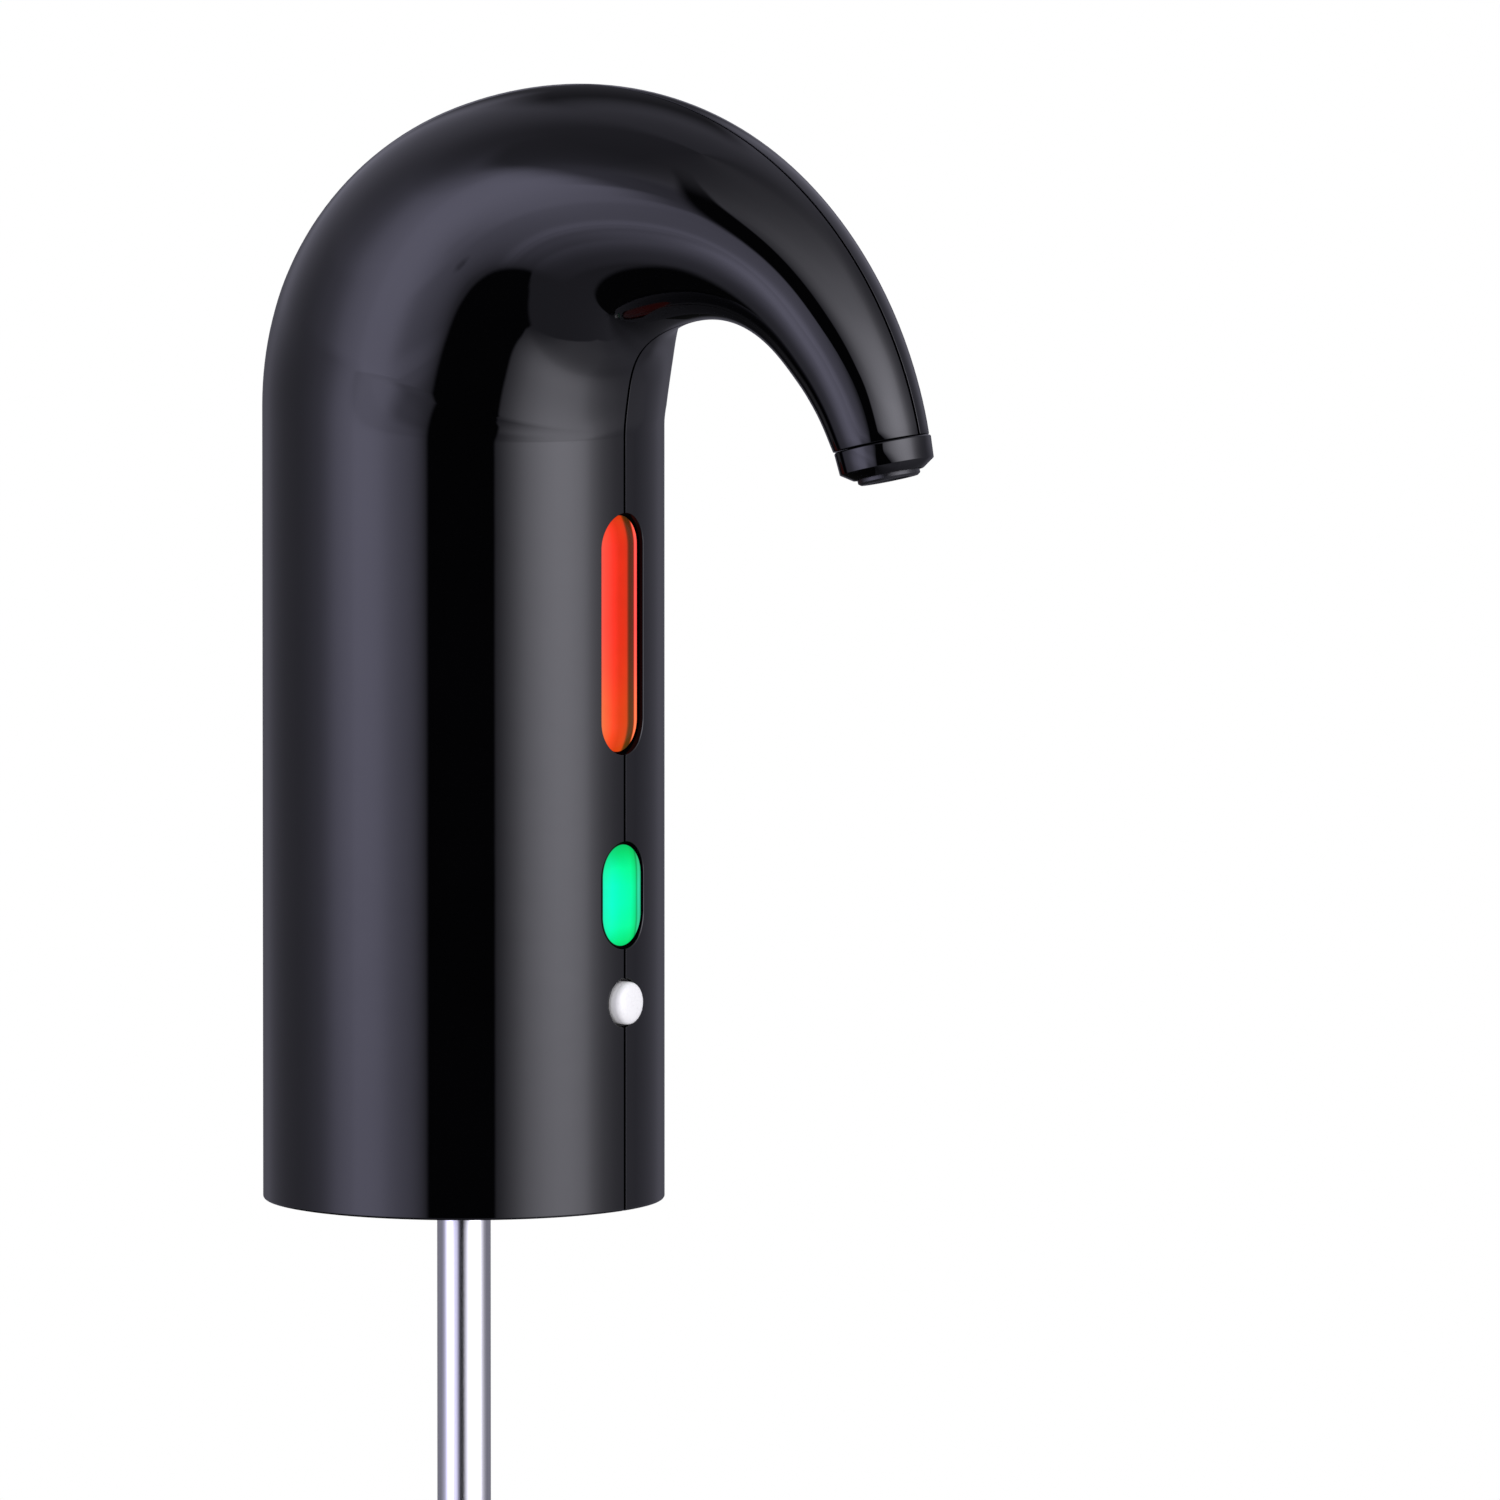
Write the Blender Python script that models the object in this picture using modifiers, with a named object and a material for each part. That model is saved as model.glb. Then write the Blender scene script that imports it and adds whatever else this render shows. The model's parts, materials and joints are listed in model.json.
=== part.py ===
"""Electric decanter: a battery pump that hangs by the socket in its base and pours through a bent spout.

Metres, +Z up. The origin is the centre of the housing's lower rim, +X is the way the spout points,
and the two housing halves meet on the plane Y = 0.
"""
import math

import bpy
import bmesh
from mathutils import Matrix, Vector

# Clearances
SEAT_GAP = 0.0003
RUN_GAP = 0.0001
SLIDE_GAP = 0.00015
OVERRUN = 0.002

# Housing, side view: a straight body, a back arc and a crown arc outside, an arch under the spout.
# The crown arc runs on from the back arc and ends at the spout's tip.
BODY_RADIUS = 0.0300
BACK_RISE = 0.0034
BACK_ARC_RADIUS = 0.0486
BACK_ARC_SWEEP = math.radians(69.2)
TIP_RADIUS = 0.00767
TIP_LEAN = math.radians(14.09)
ARCH_RADIUS = 0.0190
ARCH_SWEEP = math.radians(155)
ARCH_RUN = 0.0088
ARCH_EXPONENT = 1.95
RIM_ROUNDING = 0.0004

# Housing walls and the lip that closes the seam
WALL = 0.0022
TIP_WALL = 0.0018
SEAM_HALF_GAP = 0.00015
LIP_REACH = 0.0012

# Housing resolution
LOFT_RINGS = 18
HALF_SEGMENTS = 16
CORE_SEGMENTS = 20

# Housing posts that line the two halves up
BACK_POST_INSET = 0.0043
BACK_POST_HEIGHT = 0.0360
FRONT_POST_INSET = 0.0038
FRONT_POST_HEIGHT = 0.0130
CROWN_POST_PLACE = 0.0100
CROWN_POST_DROP = 0.0100
POST_RADIUS = 0.0028
SPOUT_POST_RADIUS = 0.0018
SPOUT_POST_share = 0.70
PIN_RADIUS = 0.0010
PIN_REACH = 0.0040

# Controls in the front seam
KEY_WIDTH = 0.0096
KEY_GAP = 0.0002
KEY_TRAVEL = 0.0006
POWER_BUTTON_HEIGHT = 0.0312
POWER_BUTTON_RADIUS = 0.0032
POWER_TO_AERATE = 0.00525
AERATE_KEY_STRAIGHT = 0.0057
AERATE_TO_POUR = 0.0137
POUR_KEY_STRAIGHT = 0.0259
POUR_TO_ARCH = 0.01165
POUR_KEY_RECESS = 0.0009
POUR_KEY_CROWN = 0.0012
AERATE_KEY_RECESS = 0.0002
AERATE_KEY_CROWN = 0.0007
POWER_BUTTON_PROUD = 0.0017
POWER_BUTTON_DOME = 0.0013
KEY_FLANGE_LIP = 0.0014
KEY_FLANGE_THICKNESS = 0.0012
KEY_STEM_RADIUS = 0.0020
KEY_CROWN_shares = (0.0, 0.12, 0.3, 0.5, 0.7, 0.9)
BUTTON_DOME_shares = (0.35, 0.62, 0.83, 0.96)
KEY_END_SEGMENTS = 7

# Base cover with the neck socket
BASE_RECESS = 0.0004
BASE_PLATE = 0.0024
SOCKET_RADIUS = 0.0170
SOCKET_WALL = 0.0016
SOCKET_DEPTH = 0.0200
SOCKET_TOP_PLATE = 0.0018
SOCKET_LEAD_IN = 0.0008
BASE_BOSS_HEIGHT = 0.0096
VENT_RADIUS = 0.0008
VENT_PLACE = 0.0078

# Gasket and stopper
GASKET_THICKNESS = 0.0020
GASKET_INNER_RADIUS = 0.0106
STOPPER_TOP_RADIUS = 0.0098
STOPPER_FOOT_RADIUS = 0.0086
STOPPER_FOOT_HEIGHT = 0.0030
STOPPER_RIB_DEPTH = 0.0008
STOPPER_RIBS = 3
STOPPER_LIP_THICKNESS = 0.0020
STOPPER_CREST_shares = (0.25, 0.45)

# Manifold that holds the suction tube and feeds the pump
MANIFOLD_FLANGE_RADIUS = 0.0070
MANIFOLD_FLANGE = 0.0020
MANIFOLD_STEM_RADIUS = 0.0057
MANIFOLD_FOOT_HEIGHT = 0.0020
SPIGOT_RADIUS = 0.0026
SPIGOT_BORE = 0.0016
SPIGOT_LENGTH = 0.0049
SPIGOT_SEAT = 0.0020
INLET_SEAL_RADIUS = 0.0045

# Telescopic suction tube, from the fixed section to the innermost one
TUBE_RADIUS = 0.0040
TUBE_WALL = 0.00030
TUBE_SECTION_LENGTH = 0.1000
TUBE_STAGGER = 0.0050
TUBE_COLLAR_LENGTH = 0.0035
TUBE_COLLAR_STEP = 0.00045
FOOT_RADIUS = 0.0036
FOOT_LENGTH = 0.0100
FOOT_SLEEVE = 0.0060
FOOT_BORE = 0.0020
FOOT_CHAMFER = 0.0007
FOOT_SLOT_WIDTH = 0.0014
FOOT_SLOT_DEPTH = 0.0022

# Gear pump
GEAR_TEETH = 10
GEAR_MODULE = 0.0008
GEAR_PRESSURE_ANGLE = math.radians(25)
GEAR_ADDENDUM_share = 0.80
GEAR_DEDENDUM_share = 1.10
GEAR_BACKLASH = 0.00012
GEAR_HEIGHT = 0.0060
FLANK_POINTS = 3
PORT_OFFSET = 0.0032
PORT_RADIUS = 0.0016
PUMP_SIDE_WALL = 0.00326
PUMP_CORNER = 0.0025
PUMP_COVER_THICKNESS = 0.0030
PUMP_ROOF = 0.0038
PUMP_SCREW_INSET = 0.0023
SHAFT_RADIUS = 0.0015
PUMP_SHAFT_LENGTH = 0.0067
SEAL_RADIUS = 0.0030
SEAL_THICKNESS = 0.0018
IDLER_PIN_RADIUS = 0.0010
IDLER_PIN_SEAT = 0.0028

# Outlet: elbow, hose and clips
ELBOW_RADIUS = 0.00195
ELBOW_BORE = 0.0012
ELBOW_SEAT = 0.0022
ELBOW_REACH = 0.0063
ELBOW_BEND = 0.0030
ELBOW_RISE = 0.0086
BEND_STEPS = 5
HOSE_RADIUS = 0.0033
HOSE_BORE = 0.0022
HOSE_OVERLAP = 0.0045
HOSE_POINTS = 24
HOSE_GUIDE_shares = (0.16, 0.30, 0.44, 0.58, 0.72)
CLIP_RADIUS = 0.0041
CLIP_WIDTH = 0.0028
CLIP_INSET = 0.0012

# Motor
MOTOR_RADIUS = 0.0102
MOTOR_LENGTH = 0.0260
MOTOR_WALL = 0.0008
MOTOR_BOSS_RADIUS = 0.0032
MOTOR_BOSS = 0.0014
MOTOR_SHAFT_RADIUS = 0.0010
MOUNT_HEIGHT = 0.0071
MOUNT_PLATE = 0.0018
MOUNT_NECK_RADIUS = 0.0080
MOUNT_CAVITY_RADIUS = 0.0064
MOUNT_SHOULDER = 0.0020
MOTOR_SCREW_CIRCLE = 0.0049
MOTOR_SCREW_TURN = math.radians(45)
COUPLING_RADIUS = 0.0028
COUPLING_LENGTH = 0.0038
COUPLING_LIFT = 0.0009
ARMATURE_RADIUS = 0.0066
ARMATURE_LENGTH = 0.0160
ARMATURE_LIFT = 0.0030
COMMUTATOR_RADIUS = 0.0026
COMMUTATOR_LENGTH = 0.0028
ROTOR_HUB_RADIUS = 0.0015
ROTOR_HUB_LENGTH = 0.0012
MAGNET_THICKNESS = 0.0019
MAGNET_LENGTH = 0.0190
MAGNET_HALF_SWEEP = math.radians(65)
ENDCAP_FLANGE = 0.0026
ENDCAP_PLUG = 0.0018
ENDCAP_BOSS_RADIUS = 0.0030
ENDCAP_BOSS = 0.0020
ENDCAP_WELL_RADIUS = 0.0045

# Battery
CELL_RADIUS = 0.00915
CELL_LENGTH = 0.0651
CELL_NUB_RADIUS = 0.0030
CELL_NUB = 0.0010
CELL_EDGE = 0.0006
HOLDER_WALL = 0.0012
HOLDER_END = 0.0015
HOLDER_ABOVE_PUMP = 0.0050
HOLDER_MOUTH_share = 0.30
CONTACT_SIZE = 0.0080
CONTACT_THICKNESS = 0.0004

# Control board
BOARD_THICKNESS = 0.0012
BOARD_SETBACK = 0.0082
BOARD_HALF_WIDTH = 0.0160
BOARD_BELOW_BUTTON = 0.0072
BOARD_ABOVE_POUR_KEY = 0.0206
BOARD_HOLE_INSET = 0.0035
BOARD_BOSS_RADIUS = 0.0022
SWITCH_SIZE = 0.0060
SWITCH_HEIGHT = 0.0031
SWITCH_PLUNGER_RADIUS = 0.0016
SWITCH_WELL = 0.0018
LED_WIDTH = 0.0028
LED_LENGTH = 0.0035
LED_HEIGHT = 0.0019
POUR_LED_OFFSET = 0.0110
AERATE_LED_OFFSET = 0.0055

# Charging socket
CHARGE_HEIGHT = 0.0130
CHARGE_WIDTH = 0.0089
CHARGE_THICKNESS = 0.0032
CHARGE_DEPTH = 0.0073
CHARGE_SHELL = 0.0003
CHARGE_TONGUE_THICKNESS = 0.0007
CHARGE_TONGUE_share = 0.60
CHARGE_RECESS = 0.0014
CHARGE_BOARD_THICKNESS = 0.0010
CHARGE_BOARD_HALF_WIDTH = 0.0070
CHARGE_BOARD_DEPTH = 0.0066
CHARGE_POST_RADIUS = 0.0014

# Spout ring and nozzle
RING_INSET = 0.00037
RING_HEIGHT = 0.0033
RING_STEP = 0.0003
RING_CHAMFER = 0.0007
RING_SLEEVE = 0.0060
RING_WALL = 0.00117
NOZZLE_PROUD = 0.0010
NOZZLE_SHOULDER = 0.0063
NOZZLE_BARB = 0.0027
NOZZLE_BARB_RADIUS = 0.00195
NOZZLE_BARB_TAPER = 0.0002
NOZZLE_OUTLET = 0.0025
NOZZLE_OUTLET_DEPTH = 0.0035
NOZZLE_BORE = 0.0012
NOZZLE_SEAL_HEIGHT = 0.0010
NOZZLE_SEAL_WIRE = 0.00045
NOZZLE_GROOVE_DEPTH = 0.00085

# Screws: shank radius, head radius, head height
SCREW_SHANK = 0.0010
SCREW_HEAD = 0.0018
SCREW_HEAD_HEIGHT = 0.0012
SCREW_LENGTH = 0.0060
SMALL_SHANK = 0.0007
SMALL_HEAD = 0.0012
SMALL_HEAD_HEIGHT = 0.0009
SMALL_LENGTH = 0.0040

# Facets round a full turn
ROUND_LARGE = 32
ROUND_MEDIUM = 18
ROUND_SMALL = 14
ROUND_TINY = 8
FACET_TWIST = math.radians(5)
SMOOTH_ANGLE = math.radians(35)
WELD_DISTANCE = 0.000002
TURN_MERGE = 0.000005

# Places that follow from the sizes above
INNER_RADIUS = BODY_RADIUS - WALL
BASE_SCREW_CIRCLE = (SOCKET_RADIUS + SOCKET_WALL + INNER_RADIUS) / 2
SOCKET_TOP = SOCKET_DEPTH + SOCKET_TOP_PLATE
MANIFOLD_BASE = SOCKET_TOP + SEAT_GAP
MANIFOLD_TOP = MANIFOLD_BASE + MANIFOLD_FLANGE
SPIGOT_TOP = MANIFOLD_TOP + SPIGOT_LENGTH
PUMP_BOTTOM = SPIGOT_TOP - SPIGOT_SEAT
PUMP_BODY_BASE = PUMP_BOTTOM + PUMP_COVER_THICKNESS + SEAT_GAP
PUMP_CEILING = PUMP_BODY_BASE + GEAR_HEIGHT + SEAT_GAP
PUMP_TOP = PUMP_CEILING + PUMP_ROOF
GEAR_REACH = GEAR_MODULE * GEAR_TEETH / 2
CHAMBER_RADIUS = GEAR_REACH + GEAR_MODULE * GEAR_ADDENDUM_share + RUN_GAP
PUMP_HALF_WIDTH = CHAMBER_RADIUS + PUMP_SIDE_WALL
PUMP_HALF_LENGTH = GEAR_REACH + PUMP_HALF_WIDTH
GEAR_BASE = PUMP_BODY_BASE + SEAT_GAP / 2
PUMP_SHAFT_TOP = PUMP_CEILING + PUMP_SHAFT_LENGTH
MOUNT_BASE = PUMP_TOP + SEAT_GAP
MOTOR_BASE = MOUNT_BASE + MOUNT_HEIGHT + SEAT_GAP
MOTOR_TOP = MOTOR_BASE + MOTOR_LENGTH
ARMATURE_BASE = MOTOR_BASE + MOTOR_WALL + ARMATURE_LIFT
ARMATURE_TOP = ARMATURE_BASE + ARMATURE_LENGTH
HOLDER_RADIUS = CELL_RADIUS + SEAT_GAP + HOLDER_WALL
HOLDER_BOTTOM = PUMP_TOP + HOLDER_ABOVE_PUMP
CELL_PLACE = HOLDER_RADIUS + SEAT_GAP - INNER_RADIUS
CELL_BASE = HOLDER_BOTTOM + HOLDER_END + 2 * SEAT_GAP + CONTACT_THICKNESS
CELL_TOP = CELL_BASE + CELL_LENGTH + CELL_NUB
HOLDER_TOP = CELL_TOP + 2 * SEAT_GAP + CONTACT_THICKNESS + HOLDER_END
TUBE_TOP = SOCKET_TOP
KEY_HALF_WIDTH = KEY_WIDTH / 2
KEY_FLANGE_HALF = KEY_HALF_WIDTH + KEY_FLANGE_LIP
KEY_FLANGE_FRONT = math.sqrt(INNER_RADIUS ** 2 - KEY_FLANGE_HALF ** 2) - SEAT_GAP
BUTTON_FLANGE_RADIUS = POWER_BUTTON_RADIUS + KEY_FLANGE_LIP
BUTTON_FLANGE_FRONT = math.sqrt(INNER_RADIUS ** 2 - BUTTON_FLANGE_RADIUS ** 2) - SEAT_GAP
AERATE_KEY_HALF = AERATE_KEY_STRAIGHT / 2 + KEY_HALF_WIDTH
POUR_KEY_HALF = POUR_KEY_STRAIGHT / 2 + KEY_HALF_WIDTH
AERATE_KEY_HEIGHT = POWER_BUTTON_HEIGHT + POWER_BUTTON_RADIUS + POWER_TO_AERATE + AERATE_KEY_HALF
POUR_KEY_HEIGHT = AERATE_KEY_HEIGHT + AERATE_KEY_HALF + AERATE_TO_POUR + POUR_KEY_HALF
BOARD_FACE = INNER_RADIUS - BOARD_SETBACK
BOARD_BOTTOM = POWER_BUTTON_HEIGHT - BOARD_BELOW_BUTTON
BOARD_TOP = POUR_KEY_HEIGHT + BOARD_ABOVE_POUR_KEY
SWITCH_BASE = BOARD_FACE + SEAT_GAP
SWITCH_TOP = SWITCH_BASE + SWITCH_HEIGHT

DRIVE_AXIS = (GEAR_REACH, -PORT_OFFSET)
IDLER_AXIS = (-GEAR_REACH, -PORT_OFFSET)
ELBOW_AXIS_Y = -PORT_OFFSET - PUMP_HALF_WIDTH - ELBOW_REACH
ELBOW_HEIGHT = PUMP_BODY_BASE + GEAR_HEIGHT / 2
ELBOW_TOP = ELBOW_HEIGHT + ELBOW_BEND + ELBOW_RISE

# The straight part is as tall as the cell or the controls ask for
STRAIGHT_HEIGHT = max(HOLDER_TOP - BACK_RISE, POUR_KEY_HEIGHT + POUR_KEY_HALF + POUR_TO_ARCH)


def make_collection(name):
    """A collection linked to the scene."""
    collection = bpy.data.collections.new(name)
    bpy.context.scene.collection.children.link(collection)
    return collection


for old in list(bpy.data.objects):
    bpy.data.objects.remove(old, do_unlink=True)

PARTS = make_collection("electric_wine_decanter")
CUTTERS = make_collection("cutters")


def make_material(name, colour, roughness, metallic=0.0):
    """A Principled material of one colour."""
    material = bpy.data.materials.new(name)
    material.use_nodes = True
    shader = material.node_tree.nodes["Principled BSDF"]
    shader.inputs["Base Color"].default_value = (*colour, 1.0)
    shader.inputs["Roughness"].default_value = roughness
    shader.inputs["Metallic"].default_value = metallic
    return material


GLOSS_BLACK = make_material("gloss_black", (0.010, 0.009, 0.012), 0.07)
MATTE_BLACK = make_material("matte_black", (0.025, 0.025, 0.028), 0.5)
RED_LENS = make_material("red_lens", (0.90, 0.07, 0.02), 0.15)
GREEN_LENS = make_material("green_lens", (0.0, 0.80, 0.32), 0.2)
WHITE_CAP = make_material("white_cap", (0.90, 0.89, 0.92), 0.3)
SILICONE = make_material("silicone", (0.55, 0.56, 0.58), 0.6)
STEEL = make_material("steel", (0.62, 0.62, 0.64), 0.25, 1.0)
NATURAL_PLASTIC = make_material("natural_plastic", (0.78, 0.77, 0.72), 0.45)
BRASS = make_material("brass", (0.78, 0.57, 0.24), 0.3, 1.0)
FERRITE = make_material("ferrite", (0.09, 0.09, 0.10), 0.7)
COPPER = make_material("copper", (0.72, 0.32, 0.15), 0.35, 1.0)
CELL_WRAP = make_material("cell_wrap", (0.05, 0.22, 0.55), 0.35)
BOARD_GREEN = make_material("board_green", (0.02, 0.20, 0.09), 0.4)
LED_RESIN = make_material("led_resin", (0.85, 0.80, 0.62), 0.25)


def add_part(name, mesh, material, place=(0.0, 0.0, 0.0)):
    """Link a mesh as one named sub-part."""
    part = bpy.data.objects.new(name, mesh)
    mesh.materials.clear()
    mesh.materials.append(material)
    part.location = place
    PARTS.objects.link(part)
    return part


def as_cutter(piece):
    """Move an object to the cutters, shown as a wire."""
    for collection in list(piece.users_collection):
        collection.objects.unlink(piece)
    CUTTERS.objects.link(piece)
    piece.hide_render = True
    piece.display_type = "WIRE"
    return piece


def add_boolean(part, other, operation):
    """Keep an exact Boolean on the part; the other object becomes a cutter."""
    as_cutter(other)
    modifier = part.modifiers.new(other.name, "BOOLEAN")
    modifier.operation = operation
    modifier.solver = "EXACT"
    modifier.object = other


def cut(part, *others):
    """Take the other objects away from the part."""
    for other in others:
        add_boolean(part, other, "DIFFERENCE")


def join(part, *others):
    """Make the other objects one solid with the part."""
    for other in others:
        add_boolean(part, other, "UNION")


def turned(name, profile, segments, material, place=(0.0, 0.0, 0.0)):
    """A lathe shape about local Z. The profile of (radius, height) runs top to bottom outside.

    It is a closed loop, unless it starts and ends on the axis.
    """
    mesh = bpy.data.meshes.new(name)
    points = [(radius, 0.0, height) for radius, height in profile]
    edges = [(index, index + 1) for index in range(len(points) - 1)]
    if profile[0][0] > 0:
        edges.append((len(points) - 1, 0))
    mesh.from_pydata(points, edges, [])
    part = add_part(name, mesh, material, place)
    screw = part.modifiers.new("turn", "SCREW")
    screw.axis = "Z"
    screw.steps = segments
    screw.render_steps = segments
    screw.use_merge_vertices = True
    screw.merge_threshold = TURN_MERGE
    screw.use_smooth_shade = True
    return part


def rod(name, radius, low, high, segments, material, place=(0.0, 0.0)):
    """A plain upright cylinder."""
    profile = [(0.0, high), (radius, high), (radius, low), (0.0, low)]
    return turned(name, profile, segments, material, (place[0], place[1], 0.0))


def ring(name, inner, outer, low, high, segments, material, place=(0.0, 0.0)):
    """A plain upright ring."""
    profile = [(outer, high), (outer, low), (inner, low), (inner, high)]
    return turned(name, profile, segments, material, (place[0], place[1], 0.0))


def twisted(part, count=1):
    """Turn an upright round cutter a little, so that its facets don't lie on another's."""
    part.rotation_euler = (0.0, 0.0, count * FACET_TWIST)
    return part


def lay_along_x(part, place):
    """Turn a lathe shape so that its top faces +X, and put its origin at the place."""
    part.rotation_euler = (0.0, math.pi / 2, 0.0)
    part.location = place
    return part


def box(name, low, high, material):
    """A box between two corners."""
    mesh = bpy.data.meshes.new(name)
    shape = bmesh.new()
    bmesh.ops.create_cube(shape, size=1.0)
    size = [high[axis] - low[axis] for axis in range(3)]
    middle = [(high[axis] + low[axis]) / 2 for axis in range(3)]
    bmesh.ops.scale(shape, vec=size, verts=shape.verts)
    shape.to_mesh(mesh)
    shape.free()
    return add_part(name, mesh, material, middle)


def curve_to_mesh_part(curve_object, name, material):
    """Replace a curve object by its evaluated mesh, with its caps welded."""
    graph = bpy.context.evaluated_depsgraph_get()
    mesh = bpy.data.meshes.new_from_object(curve_object.evaluated_get(graph))
    shape = bmesh.new()
    shape.from_mesh(mesh)
    bmesh.ops.remove_doubles(shape, verts=shape.verts, dist=WELD_DISTANCE)
    bmesh.ops.recalc_face_normals(shape, faces=shape.faces)
    shape.to_mesh(mesh)
    shape.free()
    part = add_part(name, mesh, material)
    part.matrix_world = curve_object.matrix_world
    bpy.data.objects.remove(curve_object, do_unlink=True)
    return part


def prism(name, outline, low, high, material, place=(0.0, 0.0)):
    """A flat outline in XY, extruded from one height to another."""
    curve = bpy.data.curves.new(name, "CURVE")
    curve.dimensions = "2D"
    curve.fill_mode = "BOTH"
    curve.extrude = (high - low) / 2
    spline = curve.splines.new("POLY")
    spline.points.add(len(outline) - 1)
    for point, (across, along) in zip(spline.points, outline):
        point.co = (across, along, 0.0, 1.0)
    spline.use_cyclic_u = True
    outlined = bpy.data.objects.new(name + "_outline", curve)
    outlined.location = (place[0], place[1], (low + high) / 2)
    PARTS.objects.link(outlined)
    bpy.context.view_layer.update()
    return curve_to_mesh_part(outlined, name, material)


def rounded_rectangle(half_length, half_width, corner, steps):
    """Outline of a rectangle with round corners, anticlockwise."""
    outline = []
    for quarter in range(4):
        sign_x = 1 if quarter in (0, 3) else -1
        sign_y = 1 if quarter in (0, 1) else -1
        for step in range(steps + 1):
            angle = math.pi / 2 * (quarter + step / steps)
            across = sign_x * (half_length - corner) + corner * math.cos(angle)
            along = sign_y * (half_width - corner) + corner * math.sin(angle)
            outline.append((across, along))
    return outline


def stadium(radius, half_straight, end_segments):
    """Outline with round ends and straight sides along its second coordinate, anticlockwise."""
    outline = []
    for end, offset in ((0, half_straight), (1, -half_straight)):
        for step in range(end_segments + 1):
            angle = math.pi * (end + step / end_segments)
            outline.append((radius * math.cos(angle), offset + radius * math.sin(angle)))
    return outline


def loft(name, rings, material, place=(0.0, 0.0, 0.0), closed=False):
    """A skin over rings of equal point counts. It ends in flat faces, or closed runs back to its start."""
    mesh = bpy.data.meshes.new(name)
    shape = bmesh.new()
    grid = [[shape.verts.new(point) for point in ring_points] for ring_points in rings]
    count = len(grid[0])
    following_rings = grid[1:] + grid[:1] if closed else grid[1:]
    for lower, upper in zip(grid, following_rings):
        for index in range(count):
            following = (index + 1) % count
            shape.faces.new((lower[index], lower[following], upper[following], upper[index]))
    if not closed:
        shape.faces.new(list(reversed(grid[0])))
        shape.faces.new(grid[-1])
    bmesh.ops.recalc_face_normals(shape, faces=shape.faces)
    shape.to_mesh(mesh)
    shape.free()
    return add_part(name, mesh, material, place)


def pipe(name, points, radii, bore, sides, material):
    """A round pipe with an open bore along points, each with its own outer radius."""
    outer_rings = []
    inner_rings = []
    across = Vector((1.0, 0.0, 0.0))
    for index, point in enumerate(points):
        before = points[max(index - 1, 0)]
        after = points[min(index + 1, len(points) - 1)]
        along = (after - before).normalized()
        across = (across - along * across.dot(along)).normalized()
        sideways = along.cross(across)
        spokes = []
        for side in range(sides):
            angle = 2 * math.pi * side / sides
            spokes.append(across * math.cos(angle) + sideways * math.sin(angle))
        outer_rings.append([point + spoke * radii[index] for spoke in spokes])
        inner_rings.append([point + spoke * bore for spoke in spokes])
    return loft(name, outer_rings + inner_rings[::-1], material, closed=True)


# The housing's outline and its sections

def arc_step(turn):
    """Unit vector that starts towards -X and turns over the top towards +X."""
    return Vector((-math.cos(turn), 0.0, math.sin(turn)))


def heading(turn):
    """Unit vector along an outline that has turned that far from straight up."""
    return Vector((math.sin(turn), 0.0, math.cos(turn)))


def arch_point(distance):
    """Point of the arch outline under the spout, that far along it."""
    turn = min(distance / ARCH_RADIUS, ARCH_SWEEP)
    centre = Vector((BODY_RADIUS + ARCH_RADIUS, 0.0, STRAIGHT_HEIGHT))
    return centre + arc_step(turn) * ARCH_RADIUS + heading(turn) * (distance - ARCH_RADIUS * turn)


def crown_arc():
    """Radius and sweep of the arc that runs on from the back arc to the outer edge of the tip."""
    across_tip = Vector((math.cos(TIP_LEAN), 0.0, math.sin(TIP_LEAN)))
    span = arch_point(ARCH_LENGTH) + across_tip * 2 * TIP_RADIUS - back_arc_point(BACK_ARC_SWEEP)
    inward = -span.dot(arc_step(BACK_ARC_SWEEP))
    onward = span.dot(heading(BACK_ARC_SWEEP))
    return span.length_squared / (2 * inward), 2 * math.atan2(inward, onward)


def back_arc_point(turn):
    """Point of the back arc after that turn."""
    centre = Vector((BACK_ARC_RADIUS - BODY_RADIUS, 0.0, STRAIGHT_HEIGHT + BACK_RISE))
    return centre + arc_step(turn) * BACK_ARC_RADIUS


def back_point(distance):
    """Point of the back and crown outline, that far along it."""
    if distance <= BACK_RISE:
        return Vector((-BODY_RADIUS, 0.0, STRAIGHT_HEIGHT + distance))
    run = distance - BACK_RISE
    if run <= BACK_ARC_LENGTH:
        return back_arc_point(run / BACK_ARC_RADIUS)
    turn = BACK_ARC_SWEEP + (run - BACK_ARC_LENGTH) / CROWN_ARC_RADIUS
    return back_arc_point(BACK_ARC_SWEEP) + (arc_step(turn) - arc_step(BACK_ARC_SWEEP)) * CROWN_ARC_RADIUS


ARCH_LENGTH = ARCH_RADIUS * ARCH_SWEEP + ARCH_RUN
BACK_ARC_LENGTH = BACK_ARC_RADIUS * BACK_ARC_SWEEP
CROWN_ARC_RADIUS, CROWN_ARC_SWEEP = crown_arc()
BACK_LENGTH = BACK_RISE + BACK_ARC_LENGTH + CROWN_ARC_RADIUS * CROWN_ARC_SWEEP


def section(share):
    """Centre, direction to the back and radius of the round section at a share of the bend."""
    back = back_point(BACK_LENGTH * share)
    arch = arch_point(ARCH_LENGTH * share ** ARCH_EXPONENT)
    across = back - arch
    return (back + arch) / 2, across.normalized(), across.length / 2


def wall_at(share):
    """Wall thickness at a share of the bend."""
    return WALL + (TIP_WALL - WALL) * share


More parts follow.
